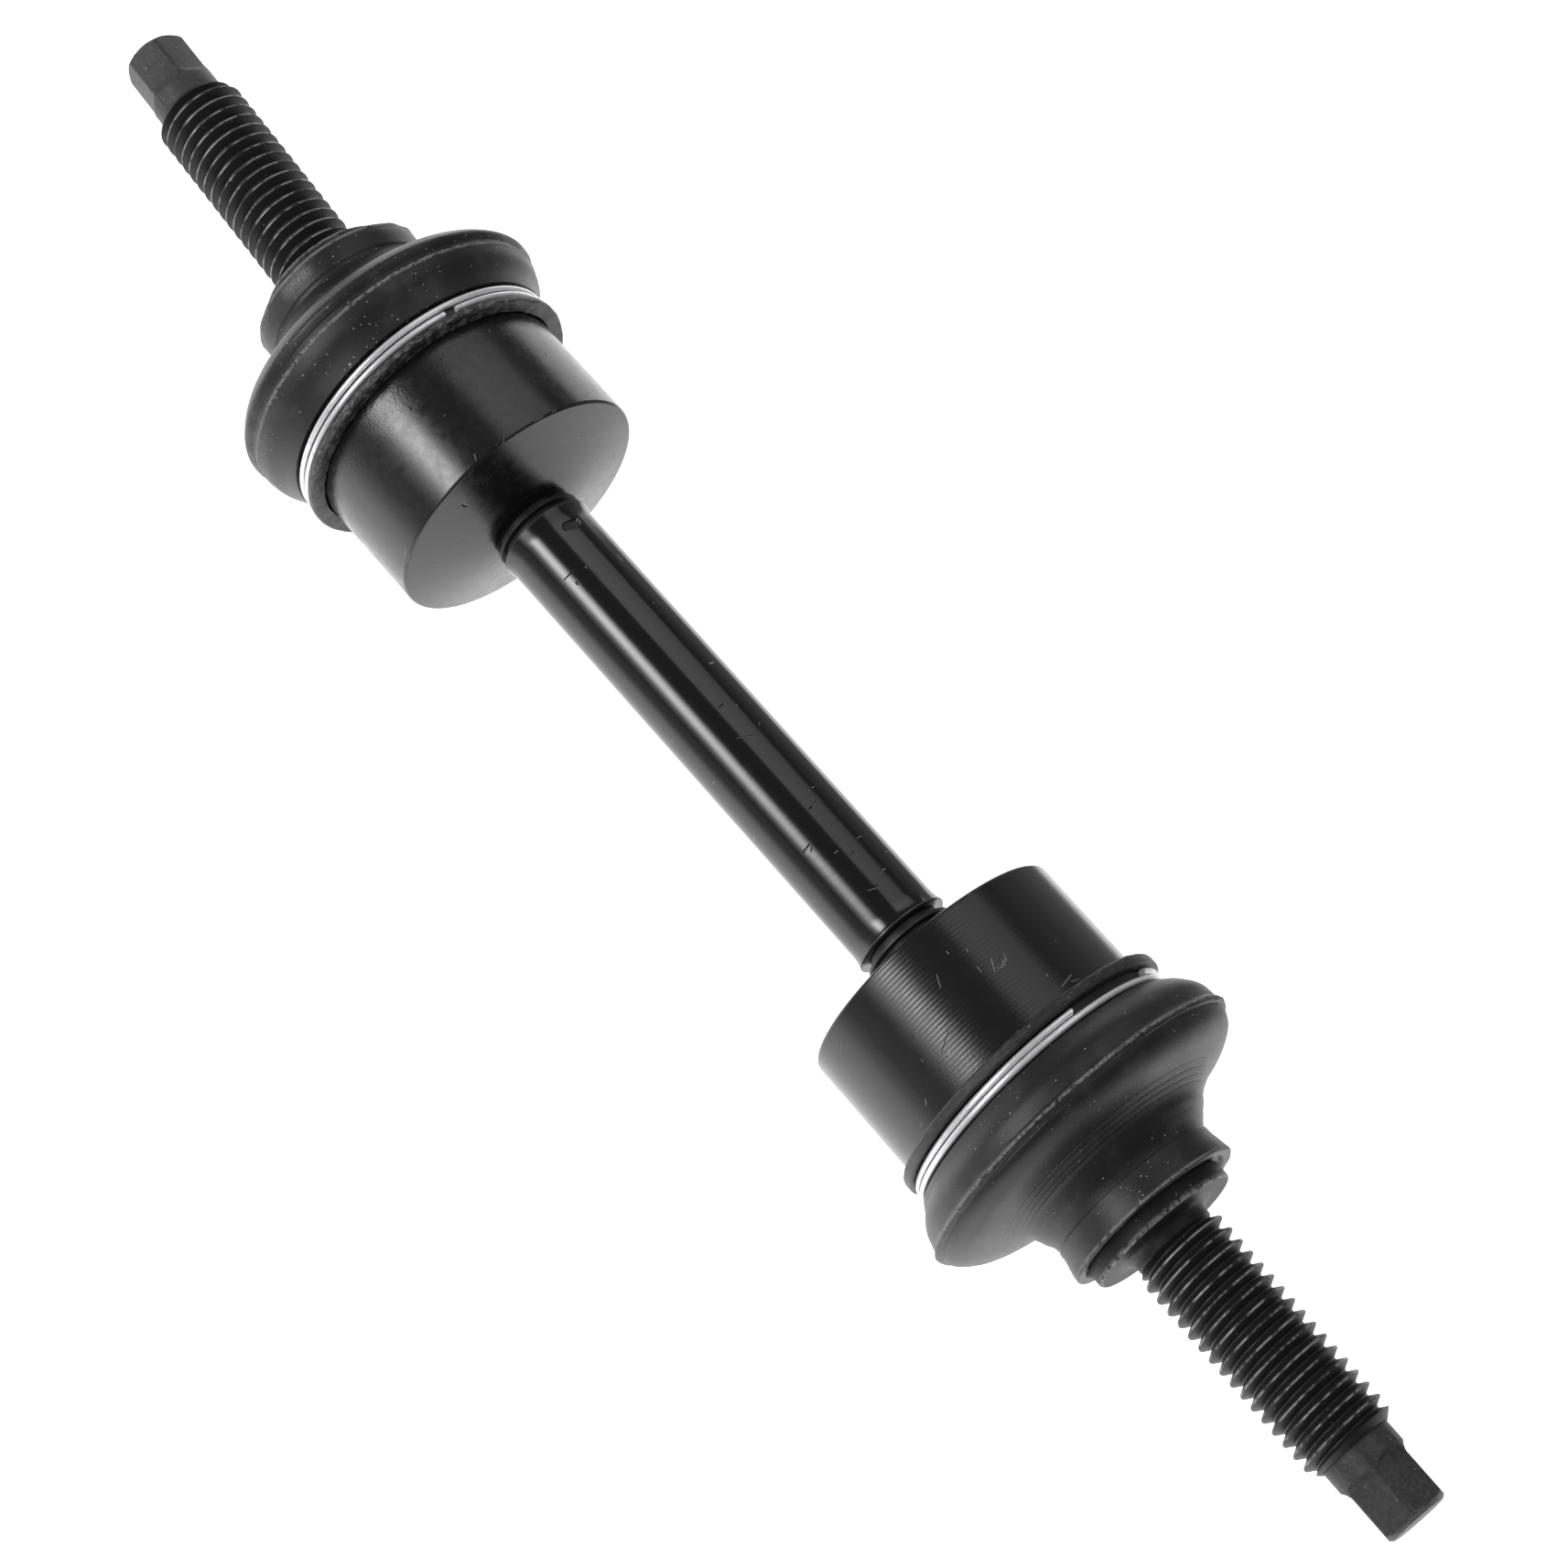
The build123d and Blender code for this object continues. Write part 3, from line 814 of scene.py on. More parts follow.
def studPhosphate(end):
    sizes, own = studFinish, studFinish[end]
    shoulder = layout["shoulderX"]
    material, shader, place = newMaterial(end + "StudPhosphate", sizes["ior"])
    moved = movedPlace(place, own["shift"])
    turned = turnedPlace(place)
    along, radius = turned["Along"], turned["Radius"]
    grain = grainOf(moved, 6.0, 0.5, 0.3)
    # worn crests, flange edge and edges at the hexagon's tip
    crest = bandMask(moved, radius, sizes["crest"], 0.07, 0.4, 0.42)
    crest = times(crest, mathNode("GREATER_THAN", along, shoulder + sizes["threadFrom"]))
    edge = bandMask(moved, radius, sizes["flangeEdge"], 0.3, 1.2, 0.38)
    face = shoulder + sizes["flangeFace"]
    edge = times(edge, rampNode(along, face - 0.8, face - 0.2))
    cone = plus(radius, times(along, 1.4))
    coneAt = 4.47 + 1.4 * (shoulder + studSizes["tip"] - 0.75)
    tipLine = times(bandMask(moved, cone, coneAt, 0.09, 0.9, 0.44), 0.7)
    blotches = noiseNode(moved, 1.6, 6.0, 0.7)
    patches = times(rampNode(blotches, 0.4, 0.75), sizes["driveWear"])
    driveAt = shoulder + sizes["driveFrom"]
    drive = rampNode(along, driveAt - 0.4, driveAt + 0.4)
    onDrive = times(plus(patches, tipLine), drive)
    specks = dustMask(moved, 1.5, 0.22, 0.2)
    wear = sumOf([crest, edge, times(specks, 0.5), onDrive])
    wear = mathNode("MINIMUM", wear, 1.0)
    base = mixColour(drive, grey(sizes["phosphate"]), grey(own["drive"]))
    feed(shader, "Base Color", mixColour(wear, base, grey(sizes["worn"])))
    feed(shader, "Metallic", times(wear, 0.5))
    feed(shader, "Roughness", minus(sizes["roughness"], times(wear, 0.12)))
    shine = rampNode(radius, 6.6, 7.4, 0.5, sizes["flangeShine"])
    feed(shader, "Specular IOR Level", shine)
    addBump(shader, times(grain["Height"], 0.05))
    return material


wireFinish = {
    "steel": 0.82,
    "dark": 0.3,
    "metallic": 0.55,
    "roughness": 0.3,
}


def wireSteel():
    sizes = wireFinish
    material, shader, own = newMaterial("wireSteel")
    feed(shader, "Metallic", sizes["metallic"])
    grain = grainOf(own, 5.0, 1.0, 0.4)
    dark = rampNode(grain["Patches"], 0.5, 0.8, 0.0, 0.35)
    colour = mixColour(dark, grey(sizes["steel"]), grey(sizes["dark"]))
    feed(shader, "Base Color", colour)
    rough = plus(sizes["roughness"], times(dark, 0.3))
    feed(shader, "Roughness", rough)
    addBump(shader, times(grain["Height"], 0.01))
    return material


def dress(piece, material):
    piece.data.materials.clear()
    piece.data.materials.append(material)


print("rod")

rodSizes = {
    "halfLength": 34.0,
    "radius": 6.0,
    "lipRadius": 6.35,
    "lipLength": 2.4,
    "lipRound": 0.16,
    "steps": 160,
}


def makeRod():
    sizes = rodSizes
    end, lipStart = sizes["halfLength"], sizes["halfLength"] - sizes["lipLength"]
    half = [Vector((0, sizes["radius"]))]
    for k in range(11):
        rise = (k / 10) ** 2.2 * (sizes["lipRadius"] - sizes["radius"] - 0.03)
        half.append(Vector((lipStart + (sizes["lipLength"] - 0.15) * k / 10, sizes["radius"] + rise)))
    half += roundCorners([half[-1], (end, sizes["lipRadius"], sizes["lipRound"]), (end, 0)], 12)[1:]
    outline = [(-p[0], p[1]) for p in reversed(half)] + [(p[0], p[1]) for p in half[1:]]
    rod = spinOutline("rodBar", outline, sizes["steps"], 0)
    smoothShade(rod)
    keepOwnPlace(rod)
    dress(rod, rodPaint())
    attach(rod, "link")
    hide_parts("rod")


makeRod()

print("housings")

housingSizes = {
    "radius": 17.5,
    "rimRadius": 17.1,
    "boreRadius": 13.55,
    "floor": 5.0,
    "steps": 192,
}


def makeHousings():
    sizes = housingSizes
    outline = roundCorners([
        (-5.35, 0),                        # stub with the weld's bead
        (-5.35, 5.0, 0.15),
        (-4.35, 5.0, 0.1),
        (-4.35, 6.0, 0.12),
        (-3.9, 6.0, 0.12),
        (-3.9, 5.0, 0.1),
        (-3.1, 5.0, 0.1),
        (-3.1, 5.6, 0.15),                 # cone up to the shoulder
        (0, sizes["radius"], 0.42),
        (17.4, sizes["radius"], 0.1),      # groove for the boot's lip
        (17.4, 16.6, 0.1),
        (20.4, 16.6, 0.1),
        (20.4, sizes["rimRadius"], 0.1),
        (24.4, sizes["rimRadius"], 0.9),   # rolled mouth over the closing ring
        (24.4, 13.85, 0.2),
        (23.4, 13.85),
        (23.4, 14.85),
        (21.6, 14.85),
        (21.6, sizes["boreRadius"]),
        (sizes["floor"], sizes["boreRadius"]),
        (sizes["floor"], 0),
    ], 12)
    lower = spinOutline("lowerHousingCup", outline, sizes["steps"])
    smoothShade(lower)
    keepOwnPlace(lower)
    upper = upperCopy(lower, "upperHousingCup", noLean)
    for end, cup in (("lower", lower), ("upper", upper)):
        dress(cup, housingCoat(end))
        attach(cup, "link")
        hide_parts(end + "_housing")


makeHousings()

print("boots")

splitReach = 25.5          # the two halves of a boot meet here inside
bootSizes = {
    # outlines of (reach, radius)
    "steps": 192,
    "blend": (19.0, splitReach, 32.0),     # the first half bends with the swing, the second with the collar
    # uneven rubber at the lip: reach, radius, width, share of the end's amount, grain, added to the seed
    "tornLip": [(16.1, 18.9, 1.3, 1.0, 0.5, 0), (16.1, 17.62, 0.8, 0.8, 1.0, 5)],
    "tornRidge": (splitReach, 22.2, 1.3, 0.12, 0.45),      # reach, radius, width, amount, grain
    "rimReach": 38.9,
    "tornRim": (0.7, 0.14, 0.4),           # width, amount, grain
    # the inside of both halves, and the crown's pocket for the insert ring
    "insideBase": [
        (splitReach, 20.0), (24.4, 19.95), (22.6, 19.2), (21.2, 18.0), (20.9, 17.4),
        (20.1, 17.4), (20.1, 16.9), (17.7, 16.9), (17.7, 17.55),
    ],
    "insideCrown": [(31.6, 9.9), (30.7, 12.2), (29.4, 15.2), (27.6, 18.6), (splitReach, 20.0)],
    "pocket": [
        (38.9, 10.35, 0.25), (38.35, 9.9, 0.15), (38.3, 8.95), (33.0, 8.95), (33.0, 7.35), (32.2, 7.35),
    ],
    "lower": {
        "seed": 3.1,
        "torn": 0.08,
        "lipEnd": 17.5,
        "lipTop": 19.25,
        "seatRadius": 18.0,
        "seatEnd": 19.7,
        "barrel": [
            (19.85, 19.0), (20.4, 19.55), (21.0, 20.1), (22.0, 20.9), (23.0, 21.43), (24.0, 21.64),
            (24.8, 21.78),
        ],
        "ridge": [(25.1, 21.9), (25.35, 22.1), (25.5, 22.2), (25.7, 22.1), (25.95, 21.95), (26.1, 21.62)],
        "crown": [
            (26.3, 21.55), (26.8, 21.3), (27.3, 20.88), (27.8, 20.28), (28.3, 19.5), (28.8, 18.42),
            (29.3, 17.0), (29.8, 15.66), (30.4, 14.47), (31.0, 13.49), (31.6, 12.85), (32.4, 12.35),
            (33.2, 11.78), (34.0, 11.22), (34.7, 10.92), (35.0, 10.87),
        ],
        "collar": [(35.15, 11.02), (36.0, 11.05), (37.0, 11.26), (37.8, 11.4)],
        "rim": 11.52,
    },
    "upper": {
        "seed": 9.4,
        "torn": 0.15,
        "lipEnd": 17.05,
        "lipTop": 19.6,
        "seatRadius": 18.5,
        "seatEnd": 19.6,
        "barrel": [
            (19.7, 19.35), (20.3, 19.55), (21.2, 19.9), (22.0, 20.32), (23.0, 20.93), (23.8, 21.22),
            (24.4, 21.36),
        ],
        "ridge": [(24.7, 21.46), (25.0, 21.36), (25.4, 21.38), (25.9, 21.64), (26.3, 21.82), (26.7, 21.8)],
        "crown": [
            (27.1, 21.58), (27.6, 21.2), (28.1, 20.75), (28.6, 20.1), (29.1, 19.05), (29.6, 17.7),
            (30.1, 16.4), (30.7, 15.1), (31.3, 14.1), (32.0, 13.3), (32.8, 12.6), (33.6, 12.0),
            (34.4, 11.55), (35.1, 11.3), (35.6, 11.3),
        ],
        "collar": [(35.75, 11.5), (36.4, 11.6), (37.2, 11.75), (37.9, 11.82)],
        "rim": 11.88,
    },
}


def bootBaseOutline(end):
    # lip, wire seat and barrel outside, back along the inside, closed at the parting line
    sizes = bootSizes[end]
    lip = roundCorners([
        (17.0, 17.62),
        (16.05, 17.62, 0.15),
        (16.05, sizes["lipTop"], 0.4),
        (sizes["lipEnd"], sizes["lipTop"], 0.25),
        (sizes["lipEnd"] + 0.12, sizes["seatRadius"], 0.1),
        (sizes["seatEnd"], sizes["seatRadius"], 0.1),
        (sizes["barrel"][0][0], sizes["barrel"][0][1] - 0.1),
    ], 14, 0)
    barrel = smoothRun(sizes["barrel"] + [p for p in sizes["ridge"] if p[0] <= splitReach], 4)
    inside = bootSizes["insideBase"]
    if barrel[-1].x < splitReach:
        inside = [(splitReach, 21.4)] + inside
    return lip + barrel + [Vector(p) for p in inside] + [Vector((17.0, 17.62))]


def bootCrownOutline(end):
    # crown and collar outside, back round the insert's pocket, closed at the parting line
    sizes = bootSizes[end]
    start = [(splitReach, 21.4)] if end == "upper" else []
    ridge = start + [p for p in sizes["ridge"] if p[0] >= splitReach]
    crown = smoothRun(ridge + sizes["crown"], 4)
    collar = smoothRun(sizes["collar"], 3)
    lip = roundCorners([
        (38.0, sizes["rim"] - 0.08),
        (bootSizes["rimReach"], sizes["rim"], 0.2),
        *bootSizes["pocket"],
        (32.2, 8.9),
    ], 14, 0)
    inside = [Vector(p) for p in bootSizes["insideCrown"]]
    return crown + collar + lip + inside + [crown[0]]


def roughenBoot(end, base, crown):
    sizes = bootSizes[end]
    seed = sizes["seed"]
    for reach, radius, width, share, grain, more in bootSizes["tornLip"]:
        roughen(base, reach, radius, width, sizes["torn"] * share, grain, seed + more)
    for part in (base, crown):
        roughen(part, *bootSizes["tornRidge"], seed + 1)
    roughen(crown, bootSizes["rimReach"], sizes["rim"], *bootSizes["tornRim"], seed + 2)


def placeBoot(end, part):
    if end == "lower":
        skewLower(part)
        leanLower(part, bendLean)
        return part
    name = part.name
    part.name = name + "Straight"
    turned = upperCopy(part, name, bendLean)
    bpy.data.objects.remove(part)
    return turned


def makeBoots():
    for end, side in (("lower", 1), ("upper", -1)):
        base = spinOutline(end + "BootBase", bootBaseOutline(end), bootSizes["steps"])
        crown = spinOutline(end + "BootCrown", bootCrownOutline(end), bootSizes["steps"])
        roughenBoot(end, base, crown)
        pair = []
        for part in (base, crown):
            smoothShade(part, 50)
            keepOwnPlace(part)
            part = placeBoot(end, part)
            keepInside(part)
            pair.append(part)
        rubber = bootRubber(end)
        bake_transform(pair[0])
        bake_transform(pair[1])
        for part in pair:
            dress(part, rubber)
            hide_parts(end + "_boot")


makeBoots()

print("wire clips")

wireSizes = {
    "wire": 0.8,
    "steps": 140,          # per turn
    "rise": 0.95,          # how far the wire lifts to cross itself, in wire thicknesses
    # angles are degrees; gap is how much the two turns fall short
    "lower": {"pitch": 0.9, "coilRadius": 18.4, "middle": 18.62, "firstAngle": 58, "gap": 42},
    "upper": {"pitch": 1.04, "coilRadius": 18.92, "middle": 18.36, "firstAngle": 105, "gap": 5},
}


def wirePath(end):
    # two turns side by side; the wire crosses over itself on the hidden side
    sizes = wireSizes[end]
    steps, gap = wireSizes["steps"], sizes["gap"]
    low = sizes["middle"] - sizes["pitch"] / 2
    points = []
    for k in range(int(steps * (2 - gap / 360)) + 1):
        turn = k / steps + gap / 720
        outer = smoothStep(turn, 0.47, 0.53) - smoothStep(turn, 1.47, 1.53)
        over = math.exp(-((turn - 1.5) / 0.02) ** 2) * wireSizes["wire"] * wireSizes["rise"]
        angle = math.radians(sizes["firstAngle"]) + fullTurn * turn
        radius = sizes["coilRadius"] + over
        x = layout["shoulderX"] + low + sizes["pitch"] * outer
        points.append((x * mm, radius * mm * math.cos(angle), radius * mm * math.sin(angle)))
    return points


def makeWire(name, end):
    path = wirePath(end)
    curve = bpy.data.curves.new(name, "CURVE")
    curve.dimensions = "3D"
    spline = curve.splines.new("POLY")
    spline.points.add(len(path) - 1)
    for point, place in zip(spline.points, path):
        point.co = (*place, 1)
    curve.bevel_depth = wireSizes["wire"] / 2 * mm
    curve.bevel_resolution = 5
    curve.use_fill_caps = True
    wire = bpy.data.objects.new(name, curve)
    bpy.context.collection.objects.link(wire)
    makeActive(wire)
    bpy.ops.object.convert(target="MESH")
    wire = bpy.context.object
    wire.name = name
    editAll()
    bpy.ops.mesh.remove_doubles(threshold=0.001 * mm)
    bpy.ops.mesh.normals_make_consistent(inside=False)
    bpy.ops.object.mode_set(mode="OBJECT")
    smoothShade(wire, 50)
    keepOwnPlace(wire)
    return wire


def makeWires():
    steel = wireSteel()
    lower = makeWire("lowerWireClip", "lower")
    skewLower(lower)
    spare = makeWire("wireSpare", "upper")
    upper = upperCopy(spare, "upperWireClip", noLean)
    bpy.data.objects.remove(spare)
    for end, wire in (("lower", lower), ("upper", upper)):
        dress(wire, steel)
        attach(wire, "link")
        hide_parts(end + "_wire_clip")


makeWires()

print("ball studs")

studSizes = {
    "crest": 5.95,
    "pitch": 1.75,
    "threadStart": 42.4,
    "threadEnd": 72.6,
    "tip": 82.9,
    "driveAcross": 8.0,
    "driveRadius": 4.6,
    "edgeWear": 0.35,      # the hexagon's edges are bevelled by this much
    "driveTurn": {"lower": 45, "upper": 36},    # degrees, at the straight lower end
    "steps": 96,
    "ball": 10.0,
    "body": [
        # (reach, radius, rounding) from the ball's neck to the face of the flange
        (25.66, 5.0),
        (29.0, 5.0, 1.0),
        (31.8, 7.0, 0.6),
        (38.6, 7.0, 0.2),
        (38.6, 9.6, 0.3),
        (41.0, 9.6, 0.42),
        (41.0, 5.2, 1.0),
    ],
    "flare": [
        # the hexagon's run out: reach, growth
        (83.4, 1.0), (76.7, 1.0), (76.2, 1.02), (75.7, 1.07), (75.3, 1.15), (75.0, 1.28), (72.0, 1.34),
    ],
}


def threadOutline(start):
    # one turn of the thread: rounded crest, 60 degree flanks, rounded root
    crest, pitch = studSizes["crest"], studSizes["pitch"]
    offsets = [
        (0.0, 0.0), (0.10, -0.015), (0.17, -0.07), (0.66, -0.93), (0.77, -1.04),
        (0.98, -1.04), (1.09, -0.93), (1.58, -0.07), (1.65, -0.015), (pitch, 0.0),
    ]
    return [(start + along, crest + drop) for along, drop in offsets]


def makeThread():
    sizes = studSizes
    start = layout["shoulderX"] + sizes["threadStart"] - 3 * sizes["pitch"]
    bar = startOutline("threadBar", threadOutline(start))
    bpy.ops.object.mode_set(mode="OBJECT")
    turns = math.ceil((sizes["threadEnd"] - sizes["threadStart"]) / sizes["pitch"]) + 5
    applyModifier(
        bar, "SCREW", axis="X", angle=fullTurn, screw_offset=sizes["pitch"] * mm, iterations=turns,
        steps=sizes["steps"], render_steps=sizes["steps"], use_merge_vertices=True,
        merge_threshold=0.001 * mm, use_smooth_shade=False,
    )
    editAll()
    bpy.ops.mesh.remove_doubles(threshold=0.001 * mm)
    for reach, side in ((sizes["threadStart"] - 0.4, -1), (sizes["threadEnd"] + 0.2, 1)):
        bpy.ops.mesh.select_all(action="SELECT")
        place = ((layout["shoulderX"] + reach) * mm, 0, 0)
        bpy.ops.mesh.bisect(plane_co=place, plane_no=(side, 0, 0), use_fill=True, clear_outer=True)
    bpy.ops.mesh.select_all(action="SELECT")
    bpy.ops.mesh.normals_make_consistent(inside=False)
    bpy.ops.object.mode_set(mode="OBJECT")
    envelope = spinOutline("threadEnvelope", [
        (sizes["threadStart"] - 0.3, 0),
        (sizes["threadStart"] - 0.3, 4.4),
        (sizes["threadStart"] + 1.7, 6.3),
        (sizes["threadEnd"] - 1.4, 6.3),
        (sizes["threadEnd"], 4.8),
        (sizes["threadEnd"], 0),
    ], sizes["steps"])
    applyModifier(bar, "BOOLEAN", operation="INTERSECT", object=envelope, solver="EXACT")
    bpy.data.objects.remove(envelope)
    return bar


def makeStudBody():
    sizes = studSizes
    middle, radius = layout["ballReach"], sizes["ball"]
    arc = [math.radians(degrees) for degrees in range(144, 29, -6)]
    arc = [(middle + radius * math.cos(a), radius * math.sin(a)) for a in arc]
    outline = [(8.3, 0), (8.3, 4.93)] + arc + roundCorners(sizes["body"] + [
        (sizes["threadStart"] + 0.2, 5.2),
        (sizes["threadStart"] + 1.4, 4.3),
        (sizes["threadStart"] + 1.6, 0),
    ], 15)
    return spinOutline("studBody", outline, sizes["steps"])


def makeDrive(turn):
    # a turned end, its six flats run out in a flare towards the thread
    sizes = studSizes
    radius, tip = sizes["driveRadius"], sizes["tip"]
    blank = spinOutline("driveBlank", roundCorners([
        (sizes["threadEnd"] - 0.8, 0),
        (sizes["threadEnd"] - 0.8, radius),
        (tip - 0.75, radius, 0.9),
        (tip, radius - 1.05, 0.5),
        (tip, 0),
    ], 9), sizes["steps"])
    deselectAll()
    flare = sizes["flare"]
    bpy.ops.mesh.primitive_circle_add(
        vertices=6, radius=sizes["driveAcross"] / math.sqrt(3) * mm, fill_type="NGON",
        rotation=(0, math.pi / 2, 0), location=((layout["shoulderX"] + flare[0][0]) * mm, 0, 0),
    )
    hexagon = bpy.context.object
    bpy.ops.object.transform_apply(location=True, rotation=True, scale=True)
    hexagon.rotation_euler = (math.radians(turn), 0, 0)
    bpy.ops.object.transform_apply(location=False, rotation=True, scale=False)
    editAll()
    for (fromReach, fromScale), (toReach, toScale) in zip(flare, flare[1:]):
        move = ((toReach - fromReach) * mm, 0, 0)
        bpy.ops.mesh.extrude_region_move(TRANSFORM_OT_translate={"value": move})
        place = ((layout["shoulderX"] + toReach) * mm, 0, 0)
        grow = toScale / fromScale
        bpy.ops.transform.resize(value=(1, grow, grow), center_override=place)
    bpy.ops.mesh.select_all(action="SELECT")
    bpy.ops.mesh.normals_make_consistent(inside=False)
    bpy.ops.object.mode_set(mode="OBJECT")
    applyModifier(
        hexagon, "BEVEL", width=sizes["edgeWear"] * mm, segments=3, limit_method="ANGLE",
        angle_limit=math.radians(40),
    )
    applyModifier(blank, "BOOLEAN", operation="INTERSECT", object=hexagon, solver="EXACT")
    bpy.data.objects.remove(hexagon)
    return blank


def makeStud(name, driveTurn):
    stud = makeStudBody()
    for part in (makeThread(), makeDrive(driveTurn)):
        applyModifier(stud, "BOOLEAN", operation="UNION", object=part, solver="EXACT")
        bpy.data.objects.remove(part)
    makeActive(stud)
    editAll()
    bpy.ops.mesh.remove_doubles(threshold=0.002 * mm)
    bpy.ops.mesh.dissolve_degenerate(threshold=0.001 * mm)
    bpy.ops.object.mode_set(mode="OBJECT")
    stud.name = stud.data.name = name
    smoothShade(stud, 28)
    keepOwnPlace(stud)
    return stud


def makeStuds():
    lower = makeStud("lowerStud", studSizes["driveTurn"]["lower"])
    leanLower(lower, fullLean)
    straight = makeStud("straightStud", studSizes["driveTurn"]["upper"])
    upper = upperCopy(straight, "upperStud", fullLean)
    bpy.data.objects.remove(straight)
    for end, piece in (("lower", lower), ("upper", upper)):
        dress(piece, studPhosphate(end))
        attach(piece, end + "_stud_body")
        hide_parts(end + "_ball_stud")


makeStuds()

print("inner pieces")

innerFinish = {
    "seatPlastic": {"tone": (0.78, 0.77, 0.72, 1.0), "metallic": 0.0, "roughness": 0.42, "grain": 900},
    "ringSteel": {"tone": (0.4, 0.4, 0.42, 1.0), "metallic": 1.0, "roughness": 0.32, "grain": 1500},
}
innerPieces = {
    "inner_seat": "seatPlastic",
    "outer_seat": "seatPlastic",
    "closing_ring": "ringSteel",
    "insert_ring": "ringSteel",
}


def innerMaterial(name):
    # for the pieces inside, which keep their CAD shape
    sizes = innerFinish[name]
    material = bpy.data.materials.new(name)
    material.use_nodes = True
    tree = material.node_tree
    shader = tree.nodes["Principled BSDF"]
    feed(shader, "Metallic", sizes["metallic"])
    place = newNode(tree, "TexCoord").outputs["Object"]
    grain = grainOf(place, sizes["grain"], sizes["grain"] / 6, 0.5)
    lighter = tuple(min(1.0, c * 1.25) for c in sizes["tone"][:3]) + (1.0,)
    feed(shader, "Base Color", mixColour(grain["Patches"], sizes["tone"], lighter))
    rough = plus(sizes["roughness"], times(grain["Patches"], 0.12))
    feed(shader, "Roughness", rough)
    addBump(shader, times(grain["Height"], 0.01), mm * mm)
    return material


def dressInner():
    materials = {name: innerMaterial(name) for name in innerFinish}
    for end in ("upper", "lower"):
        for node, name in innerPieces.items():
            dress(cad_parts[end + "_" + node], materials[name])


dressInner()

print("studio")

studio = {
    "floorZ": -22.1,       # the boots rest on it, mm
    "floorSize": 6.0,      # metres
    "floorGlow": 1.0,
    "sky": 0.45,
    "skySeen": 0.12,       # what glossy surfaces see of the dim room
    "horizonSeen": 0.3,    # and of its wall behind the near side
    "farSeen": 0.14,       # and of the one on the far side
}
lamps = [
    # name, angle up from +Y, distance m, middle along X m, size along X m, size across m, radiance
    ("keyStrip", 133.3, 0.9, -0.2, 1.1, 0.78, 10.5),
    ("sidePanel", 52.0, 1.2, -0.1, 1.5, 1.14, 1.08),
]
camera = {
    "place": (0.1439, -0.1083, 0.3966),
    "right": (0.6349, 0.7726, 0.0),
    "up": (-0.7081, 0.5819, 0.4000),
    "lens": 83.36,
    "sensor": 36.0,
}


def makeFloor():
    # pale to the camera; glossy surfaces see a painted reflection on it, dimmer towards -Y and with a
    # painted dark patch towards +Y
    deselectAll()
    bpy.ops.mesh.primitive_plane_add(size=studio["floorSize"], location=(0, 0, studio["floorZ"] * mm))
    floor = bpy.context.object
    floor.name = "studioFloor"
    material = bpy.data.materials.new("paleFloor")
    material.use_nodes = True
    tree = material.node_tree
    shader = tree.nodes["Principled BSDF"]
    feed(shader, "Roughness", 0.9)
    feed(shader, "Specular IOR Level", 0.1)
    place = addNode("SeparateXYZ", {0: newNode(tree, "TexCoord").outputs["Object"]}).outputs
    # painted reflection: the floor's glow in glossy surfaces dims towards -Y
    paintedFalloffNearSide = rampNode(place[1], -0.25, -0.03, 0.42, 1.0)
    # painted shade: a dark patch in glossy surfaces where y > 0.05 m and x + 0.42 y > -0.03 m
    edge = plus(times(place[1], 0.42), place[0])
    dark = times(rampNode(place[1], 0.043, 0.055), rampNode(edge, -0.036, -0.026))
    paintedShadeFarSide = minus(1.0, times(dark, 0.81))
    shade = times(paintedFalloffNearSide, paintedShadeFarSide)
    rays = newNode(tree, "LightPath").outputs
    paintedReflectionLevel = plus(times(minus(shade, 1.0), rays["Is Glossy Ray"]), 1.0)
    seen = mathNode("MAXIMUM", rays["Is Camera Ray"], rays["Is Glossy Ray"])
    seen = mathNode("MAXIMUM", seen, rays["Is Transmission Ray"])
    feed(shader, "Emission Color", (1, 1, 1, 1))
    glow = times(times(seen, studio["floorGlow"]), paintedReflectionLevel)
    feed(shader, "Emission Strength", glow)
    # for glossy rays the base colour is darkened by the same painted reflection and painted shade
    feed(shader, "Base Color", mixColour(paintedReflectionLevel, grey(0.0), (0.8, 0.8, 0.8, 1)))
    dress(floor, material)


def makeWorld():
    world = bpy.data.worlds.new("studioWorld")
    bpy.context.scene.world = world
    world.use_nodes = True
    tree = world.node_tree
    back = tree.nodes["Background"]
    rays = newNode(tree, "LightPath").outputs
    way = addNode("SeparateXYZ", {0: newNode(tree, "TexCoord").outputs["Generated"]}).outputs
    low = times(rampNode(way[1], -0.5, -0.85), rampNode(way[2], 0.5, 0.1))
    far = times(rampNode(way[1], 0.86, 0.95), rampNode(way[0], 0.3, -0.3))
    walls = plus(times(low, studio["horizonSeen"]), times(far, studio["farSeen"]))
    dim = plus(walls, studio["skySeen"] - studio["sky"])
    dim = times(rays["Is Glossy Ray"], dim)
    lit = times(rays["Is Camera Ray"], 1.0 - studio["sky"])
    strength = plus(plus(dim, lit), studio["sky"])
    feed(back, "Strength", strength)
    feed(back, "Color", (1, 1, 1, 1))


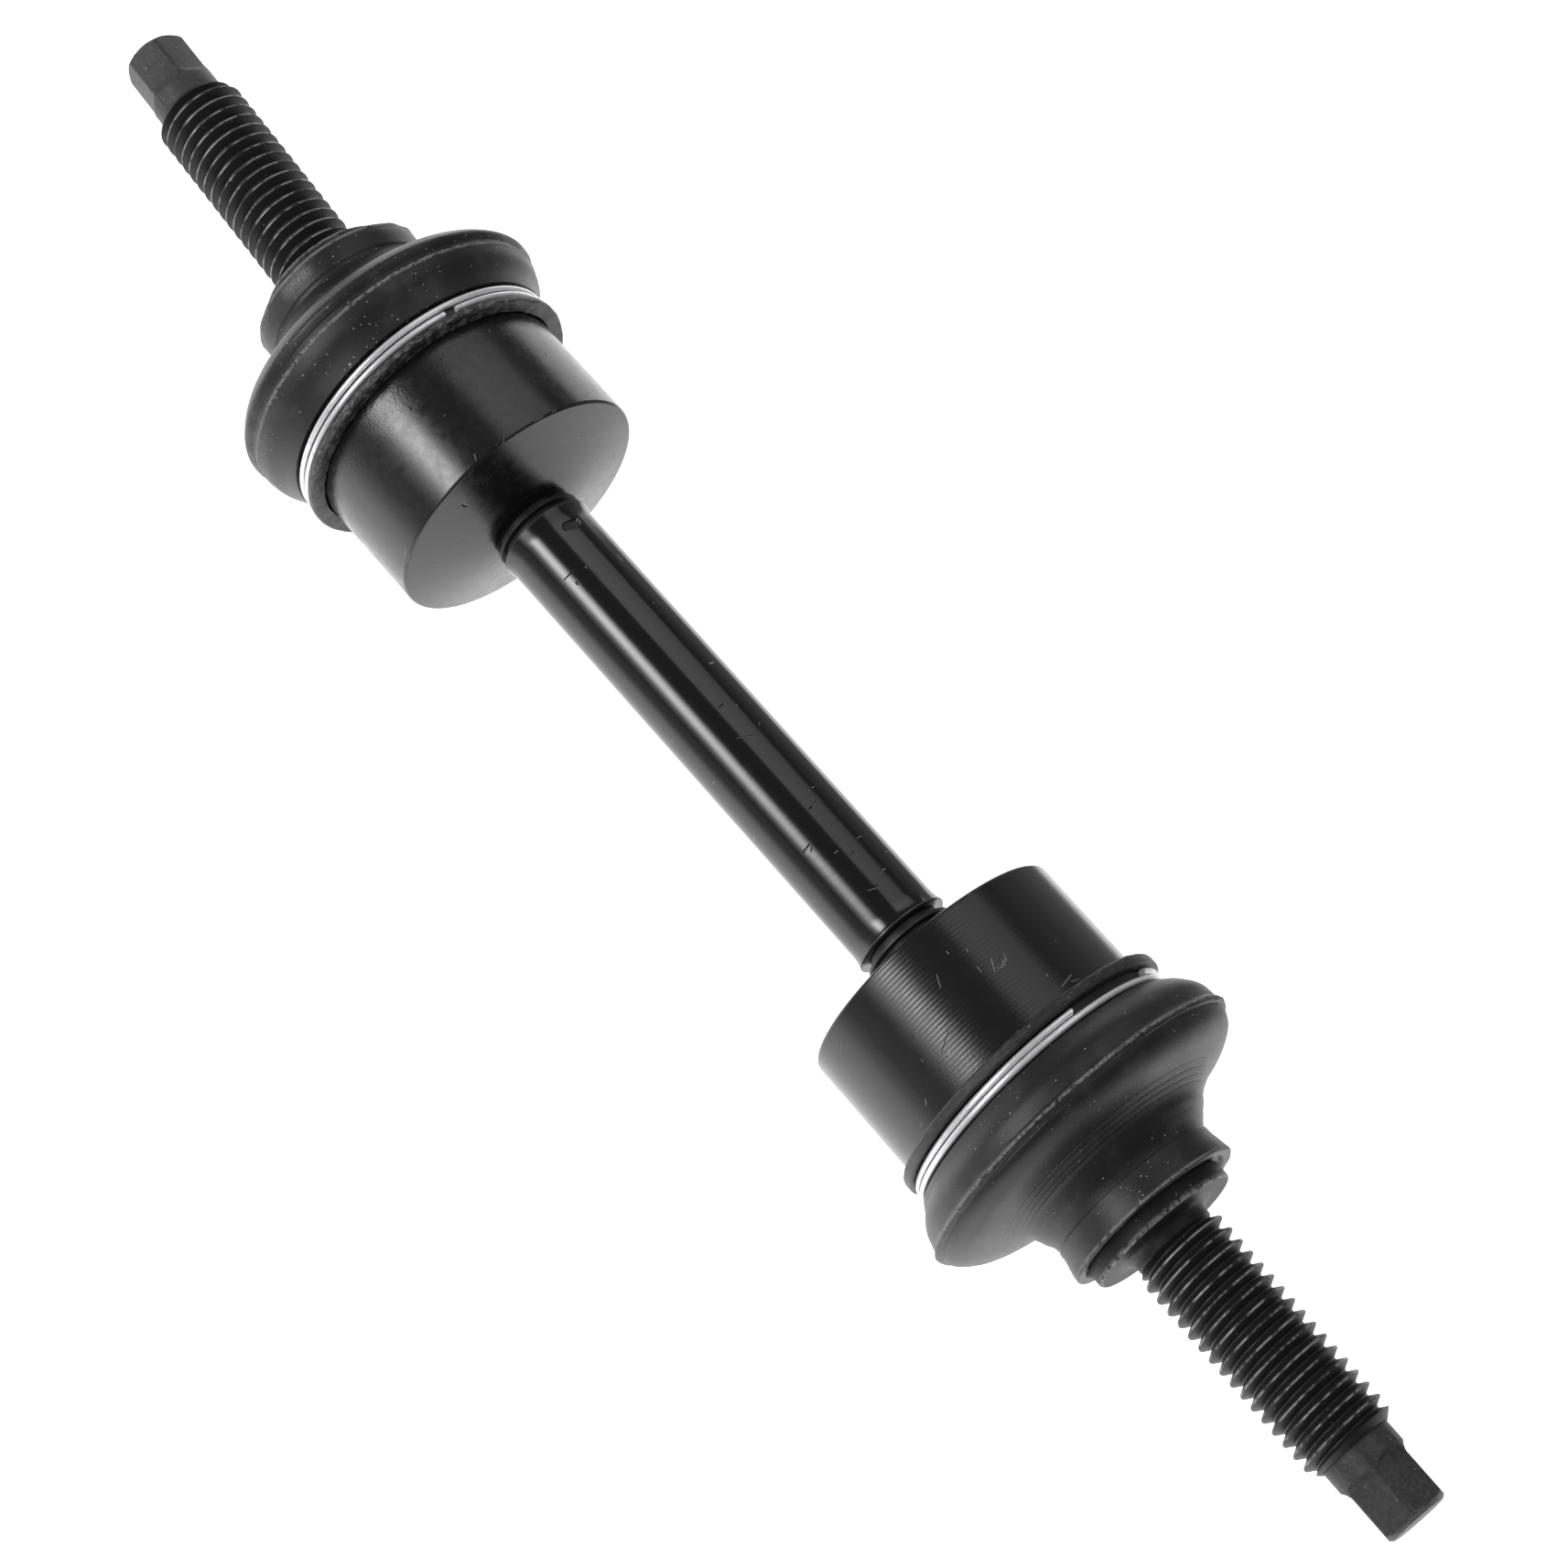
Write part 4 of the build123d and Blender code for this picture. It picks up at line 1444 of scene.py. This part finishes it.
def keyPattern(along, across):
    # a strip, brighter towards the upper end, that fades to both sides, furthest on its low side
    bright = rampNode(along, -0.36, -0.17, 1.0, 0.26)
    offset = minus(across, rampNode(along, -0.4, -0.24, -0.02, 0.02))
    strip = times(rampNode(offset, -0.27, 0.0), rampNode(offset, 0.0, 0.25, 1.0, 0.0))
    spread = times(rampNode(across, 0.0, 0.2), rampNode(across, 0.24, 0.39, 0.1, 0.0))
    return plus(times(strip, bright), spread)


def sidePattern(along, across):
    # dimmer low down, and its low edge climbs towards the lower end
    bright = rampNode(along, -0.65, -0.2, 1.0, 0.64)
    bright = times(bright, rampNode(across, -0.55, 0.35, 0.62, 1.0))
    climb = rampNode(along, -0.62, -0.15, -0.55, -0.25)
    offset = minus(across, climb)
    return times(bright, rampNode(offset, -0.03, 0.07))


def makeLamps():
    patterns = {"keyStrip": keyPattern, "sidePanel": sidePattern}
    for name, degrees, distance, middle, along, across, radiance in lamps:
        data = bpy.data.lights.new(name, "AREA")
        data.shape = "RECTANGLE"
        data.size, data.size_y = along, across
        data.energy = radiance * math.pi * along * across
        data.use_nodes = True
        tree = data.node_tree
        lamp = bpy.data.objects.new(name, data)
        bpy.context.collection.objects.link(lamp)
        angle = math.radians(degrees)
        towards = Vector((0, math.cos(angle), math.sin(angle)))
        upright = Vector((0, -math.sin(angle), math.cos(angle)))
        sideways = upright.cross(towards)
        place = newNode(tree, "NewGeometry").outputs["Position"]
        run = addNode("SeparateXYZ", {0: place}).outputs[0]
        rise = vectorNode("DOT_PRODUCT", place, upright)
        tree.links.new(patterns[name](run, rise), tree.nodes["Emission"].inputs["Strength"])
        lamp.location = towards * distance + Vector((middle, 0, 0))
        lamp.rotation_mode = "QUATERNION"
        lamp.rotation_quaternion = Matrix((sideways, upright, towards)).transposed().to_quaternion()


def makeCamera():
    data = bpy.data.cameras.new("productCamera")
    data.sensor_width = camera["sensor"]
    data.lens = camera["lens"]
    data.clip_start, data.clip_end = 0.01, 20
    eye = bpy.data.objects.new("productCamera", data)
    bpy.context.collection.objects.link(eye)
    right = Vector(camera["right"]).normalized()
    back = right.cross(Vector(camera["up"])).normalized()
    up = back.cross(right)
    turn = Matrix((right, up, back)).transposed().to_4x4()
    eye.matrix_world = Matrix.Translation(Vector(camera["place"])) @ turn
    bpy.context.scene.camera = eye


makeFloor()
makeWorld()
makeLamps()
makeCamera()
bpy.context.scene.view_settings.view_transform = "Standard"
